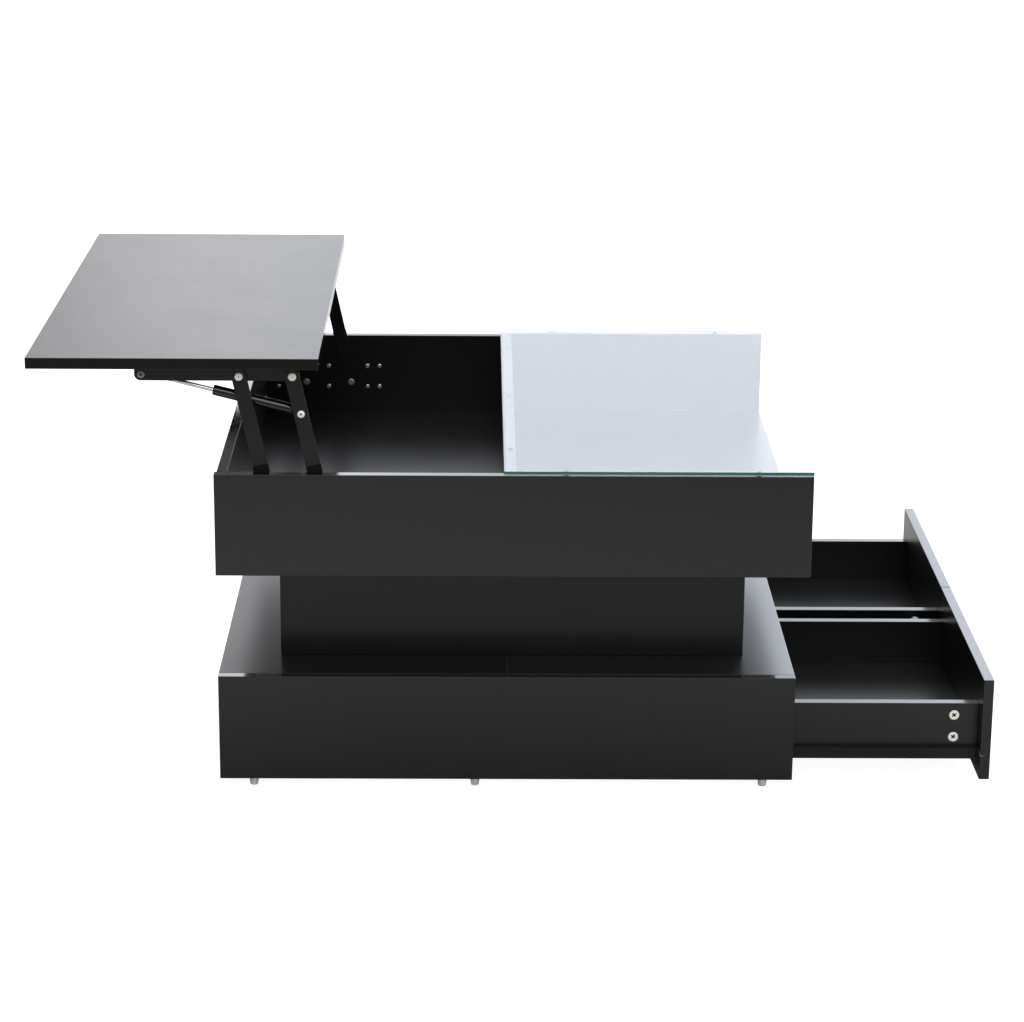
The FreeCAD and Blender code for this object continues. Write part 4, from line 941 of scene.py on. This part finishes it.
@dataclass
class LiftGear:
    """The lid with its rails, arms, brackets, rivets and gas struts; millimetres."""

    wall: float = 410.0
    top_left: Spot = (-379.8927, 610.1569)
    strut_pivot: Spot = (-293.0483, 555.8332)
    strut_anchor: Spot = (-517.3927, 612.1569)
    base_left: Spot = (-332.6, 393.2528)
    spacing: float = 75.0
    lean: float = math.radians(12.3)
    arm_off_wall: float = 4.0
    arm_width: float = 21.0
    arm_thickness: float = 3.0
    arm_corner: float = 0.4
    pivot_off_wall: float = 1.8
    pin_off_wall: float = 2.2
    rivet_off_wall: float = 5.7
    sleeve_from: float = 44.0
    sleeve_to: float = 90.0
    sleeve_wide: float = 0.7
    sleeve_thick: float = 0.3
    sleeve_inner_share: float = 0.05

    def facing(self, spot: Spot, off_wall: float) -> "list[tuple[Place, Place]]":
        """The same spot on the front and the back wall, each with the axis into the table."""
        return [((spot[0], side * (self.wall - off_wall), spot[1]), (0.0, -side, 0.0))
                for side in (-1.0, 1.0)]

    def rivets(self) -> None:
        """The four upper pivots, the struts' pins and the struts' rivets."""
        pivot = Fastener(((0.9, 4.6, 5.75), (0.9, 5.75, 5.75), (5.9, 4.0, 4.0),
                          (0.45, 5.75, 5.75), (0.45, 5.75, 4.1)),
                         Drive.HOLLOW, reach=0.6, depth=0.12, dome=0.15)
        second = (self.top_left[0] + self.spacing, self.top_left[1])
        fasten("upper_pivot_rivets", "lifting_top", pivot, RIVET_STEEL,
               self.facing(self.top_left, self.pivot_off_wall)
               + self.facing(second, self.pivot_off_wall), "top_pivot_rivets")
        pin = Fastener(((0.9, 3.9, 5.2), (0.9, 5.2, 5.2), (3.0, 3.0, 3.0), (8.6, 4.5, 4.5),
                        (8.8, 3.0, 3.0), (0.45, 4.5, 4.5), (0.45, 4.5, 3.15)),
                       Drive.HOLLOW, reach=1.5, depth=0.7, dome=0.1)
        fasten("strut_pins", "right_arms", pin, RIVET_STEEL,
               self.facing(self.strut_pivot, self.pin_off_wall), "strut_arm_pins")
        rivet = Fastener(((0.9, 3.9, 5.2), (0.9, 5.2, 5.2), (2.0, 3.0, 3.0), (4.5, 4.5, 4.5)),
                         Drive.HOLLOW, reach=2.0, depth=0.9, dome=0.1)
        fasten("strut_rivets", "lifting_top", rivet, DULL_STEEL,
               self.facing(self.strut_anchor, self.rivet_off_wall), "strut_rail_rivets")

    def sleeves(self, name: str, body: str, base_x: float) -> None:
        """Thin dark sleeves round the feet of a pair of arms: a dark sheet of painted shade on the
        arms where they go down behind the tray's front wall.

        A sleeve is a rounded rectangle about the arm's section, carried along the arm from
        sleeve_from to sleeve_to, out on its outer side and back on its inner side.

        Args:
            name: the piece's name.
            body: the body that it rides on.
            base_x: where the arms' lower pivots stand in x.
        """
        along = np.array((-math.sin(self.lean), 0.0, math.cos(self.lean)))
        across = np.array((math.cos(self.lean), 0.0, math.sin(self.lean)))
        out = np.array((0.0, 1.0, 0.0))
        grids = []
        for side in (-1.0, 1.0):
            middle = side * (self.wall - self.arm_off_wall - self.arm_thickness / 2)
            foot = np.array((base_x, middle, self.base_left[1]))
            rows = []
            for share, reach in ((1.0, self.sleeve_from), (1.0, self.sleeve_to),
                                 (self.sleeve_inner_share, self.sleeve_to),
                                 (self.sleeve_inner_share, self.sleeve_from)):
                loop = rounded_rectangle(self.arm_width / 2 + share * self.sleeve_wide,
                                         self.arm_thickness / 2 + share * self.sleeve_thick,
                                         self.arm_corner + share * self.sleeve_thick, steps=4)
                rows.append(foot + along * reach + loop[:, :1] * across + loop[:, 1:] * out)
            grids.append(np.stack(rows))
        piece = skin(name, np.stack(grids) * MM, closed_rows=True)
        piece.data.materials.append(SHADE_SLEEVE.material())
        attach(piece, body)

    def build(self) -> None:
        """Dress the lift's solids and add the rivets and the dark sleeves of painted shade."""
        dress_board("lift_lid", Lay.ACROSS_Z)
        for name in ("front_lift_bracket", "back_lift_bracket", "left_lift_arms",
                     "right_lift_arms", "front_lid_rail", "back_lid_rail"):
            dress(name, LIFT_STEEL)
        dress("base_pivot_rivets", DULL_STEEL)
        dress("strut_cylinders", STRUT_TUBE)
        dress("strut_rods", ROD_STEEL)
        dress("lid_rail_screws", SCREW_STEEL)
        self.rivets()
        # Dark sleeves of painted shade over the arms' feet.
        self.sleeves("left_arm_shade_sleeves", "left_arms", self.base_left[0])
        self.sleeves("right_arm_shade_sleeves", "right_arms", self.base_left[0] + self.spacing)


@dataclass
class Drawer:
    """One drawer on its roller runners; side is -1 for the front one; millimetres."""

    name: str
    side: float
    box_left: float = 310.0
    cam_x: float = 654.0
    outer_face: float = 397.0
    inner_face: float = 20.5
    low_row: float = 68.5
    low_row_back: float = 74.0
    high_row: float = 102.5
    board: float = 15.0
    cam_setback: float = 36.0
    band_roughness: float = 0.2

    def cams(self) -> None:
        """Eight cams: two in each side near the front, two at each end of the back."""
        places = []
        for face, axis in ((self.outer_face, -self.side), (self.inner_face, self.side)):
            places += [((self.cam_x, self.side * face, row), (0.0, axis, 0.0))
                       for row in (self.low_row, self.high_row)]
        for face, inward in ((self.outer_face, -1.0), (self.inner_face, 1.0)):
            y = self.side * (face + inward * (self.board + self.cam_setback))
            places += [((self.box_left, y, row), (1.0, 0.0, 0.0))
                       for row in (self.low_row_back, self.high_row)]
        cam = Fastener(((0.6, 6.9, 7.5), (11.4, 7.5, 7.5)), Drive.CROSS, reach=3.9, width=3.3,
                       depth=2.2, rings=30, columns=72)
        fasten(f"{self.name}_drawer_cam_locks", f"{self.name}_drawer", cam, CAM_ZINC,
               places, f"{self.name}_drawer_cams")

    def build(self) -> None:
        """Dress the drawer's boards, fittings and runners, and make its cams."""
        for part, lay in (("front", Lay.ACROSS_X), ("back", Lay.ACROSS_X),
                          ("outer_side", Lay.ACROSS_Y), ("inner_side", Lay.ACROSS_Y)):
            dress_board(f"{self.name}_drawer_{part}", lay, band_roughness=self.band_roughness)
        for part, finish in (("bottom", DRAWER_BOTTOM), ("bolts", BOLT_STEEL),
                             ("angles", RUNNER_STEEL), ("screws", SCREW_STEEL),
                             ("rollers", ROLLER)):
            dress(f"{self.name}_drawer_{part}", finish)
        dress(f"{self.name}_base_rollers", ROLLER)
        self.cams()


# ------------------------------------------------------------------ studio and camera
@dataclass(frozen=True)
class Panel:
    """A soft light panel, far off: the way to it in degrees, its size, level and tint."""

    azimuth: float
    elevation: float
    core: float
    rim: float
    level: float
    tint: Colour = WHITE

    def way(self) -> Place:
        """Unit vector to its middle; azimuth turns from +X towards +Y."""
        turn, rise = math.radians(self.azimuth), math.radians(self.elevation)
        return (math.cos(rise) * math.cos(turn), math.cos(rise) * math.sin(turn),
                math.sin(rise))

    def colour(self) -> Colour:
        """Radiance at its middle."""
        return tuple(self.level * part for part in self.tint)


@dataclass
class Studio:
    """A white room, brighter behind the table, with soft panels, over a pale floor."""

    reach: float = 45.0
    floor_steps: int = 13
    behind: float = 1.70
    climb: float = 0.13
    before: float = 0.30
    above: float = 1.10
    left_share: float = 0.36
    near_left_share: float = 1.30
    right_share: float = 2.1
    left_tint: Colour = (0.970, 0.968, 1.0)
    right_tint: Colour = (0.853, 0.905, 1.0)
    panels: "tuple[Panel, ...]" = (
        Panel(azimuth=-90.0, elevation=47.0, core=8.0, rim=30.0, level=3.4,
              tint=(1.0, 0.985, 0.95)),
        Panel(azimuth=12.0, elevation=32.0, core=10.0, rim=34.0, level=2.6),
    )
    back_span: Span = (-0.5, 0.85)
    right_span: Span = (0.10, 0.26)
    left_span: Span = (-0.22, -0.08)
    near_left_span: Span = (-0.07, 0.0)
    tint_span: Span = (-0.09, 0.02)
    low_span: Span = (0.42, 0.62)
    high_span: Span = (0.38, 0.95)
    climb_span: Span = (0.20, 0.30)

    def light(self) -> None:
        """Fill the world.

        The room's radiance goes from `before` at -Y to `behind` at +Y with the direction's y,
        is multiplied by shares that fall to the left and, low down, rise to the right, gains
        the share `climb` a little above the horizon, and eases to `above` at the zenith. Each
        panel adds its radiance, faded between its core and its rim. A span holds the part of
        the direction's x, y or z over which its share changes.
        """
        world = bpy.data.worlds.new("studio_light")
        bpy.context.scene.world = world
        graph = Graph(world)
        aim = graph.node("ShaderNodeTexCoord", out="Generated")
        way = graph.split(aim)
        x, z = way.out("X"), way.out("Z")
        back = way.out("Y").between(*self.back_span, self.before, self.behind)
        more = x.between(*self.right_span, 0.0, self.right_share - 1.0)
        side = (x.between(*self.left_span, self.left_share, self.near_left_share)
                * x.between(*self.near_left_span, 1.0, 1.0 / self.near_left_share)
                * (more * z.between(*self.low_span, 1.0, 0.0) + 1.0))
        high = z.between(*self.high_span)
        gain = z.between(*self.climb_span, 1.0, 1.0 + self.climb)
        level = back * side * gain * (1.0 - high) + high * self.above
        tint = graph.mix(x.between(*self.tint_span), self.left_tint, self.right_tint)
        total = graph.mix(level, BLACK, tint)
        for panel in self.panels:
            near = graph.node("ShaderNodeVectorMath", {"operation": "DOT_PRODUCT"},
                              {"Vector": aim, "Vector_001": panel.way()}, out="Value")
            lit = near.between(math.cos(math.radians(panel.rim)),
                               math.cos(math.radians(panel.core)))
            total = graph.mix(lit, total, panel.colour(), "ADD")
        shade = graph.node("ShaderNodeBackground", None, {"Color": total})
        graph.node_end("ShaderNodeOutputWorld", {"Surface": shade})

    def floor(self) -> None:
        """A level sheet on a grid of two parameters: x and y run over -reach..reach, z = 0."""
        steps = np.linspace(-self.reach, self.reach, self.floor_steps)
        x, y = np.meshgrid(steps, steps, indexing="ij")
        points = np.stack([x, y, np.zeros_like(x)], axis=-1)
        sheet = skin("studio_floor", points[None], closed_columns=False)
        sheet.data.materials.append(FLOOR.material())

    def build(self) -> None:
        """Light, floor and the plain colour transform."""
        self.light()
        self.floor()
        bpy.context.scene.view_settings.view_transform = "Standard"


@dataclass
class Viewpoint:
    """A long lens in front of the table, looking down a little."""

    place: Place = (-0.04316, -4.46453, 1.65819)
    pitch: float = 0.2973484
    yaw: float = 0.0119738
    roll: float = 0.0075385
    lens: float = 104.731
    sensor: float = 36.0
    sight: float = 200.0

    def build(self) -> None:
        """Aim by yaw from +Y, then pitch down, then roll about the line of sight."""
        level = math.cos(self.pitch)
        ahead = Vector((math.sin(self.yaw) * level, math.cos(self.yaw) * level,
                        -math.sin(self.pitch)))
        right = Vector((math.cos(self.yaw), -math.sin(self.yaw), 0.0))
        up = right.cross(ahead)
        turn_c, turn_s = math.cos(self.roll), math.sin(self.roll)
        right, up = right * turn_c + up * turn_s, up * turn_c - right * turn_s
        data = bpy.data.cameras.new("viewpoint")
        data.lens = self.lens
        data.sensor_width = self.sensor
        data.clip_end = self.sight
        camera = bpy.data.objects.new("viewpoint", data)
        bpy.context.scene.collection.objects.link(camera)
        turn = Matrix((right, up, -ahead)).transposed().to_4x4()
        camera.matrix_world = Matrix.Translation(Vector(self.place)) @ turn
        bpy.context.scene.camera = camera


def main() -> None:
    """Build the table's looks in order, then the studio and the camera."""
    logging.basicConfig(level=logging.INFO, format="%(name)s: %(message)s")
    parts = [Carcass(), DisplayGlass(), LiftGear(), Drawer("front", -1.0), Drawer("back", 1.0),
             Studio(), Viewpoint()]
    for part in parts:
        part.build()
        log.info("built %s", type(part).__name__)


if __name__ == "__main__":
    main()
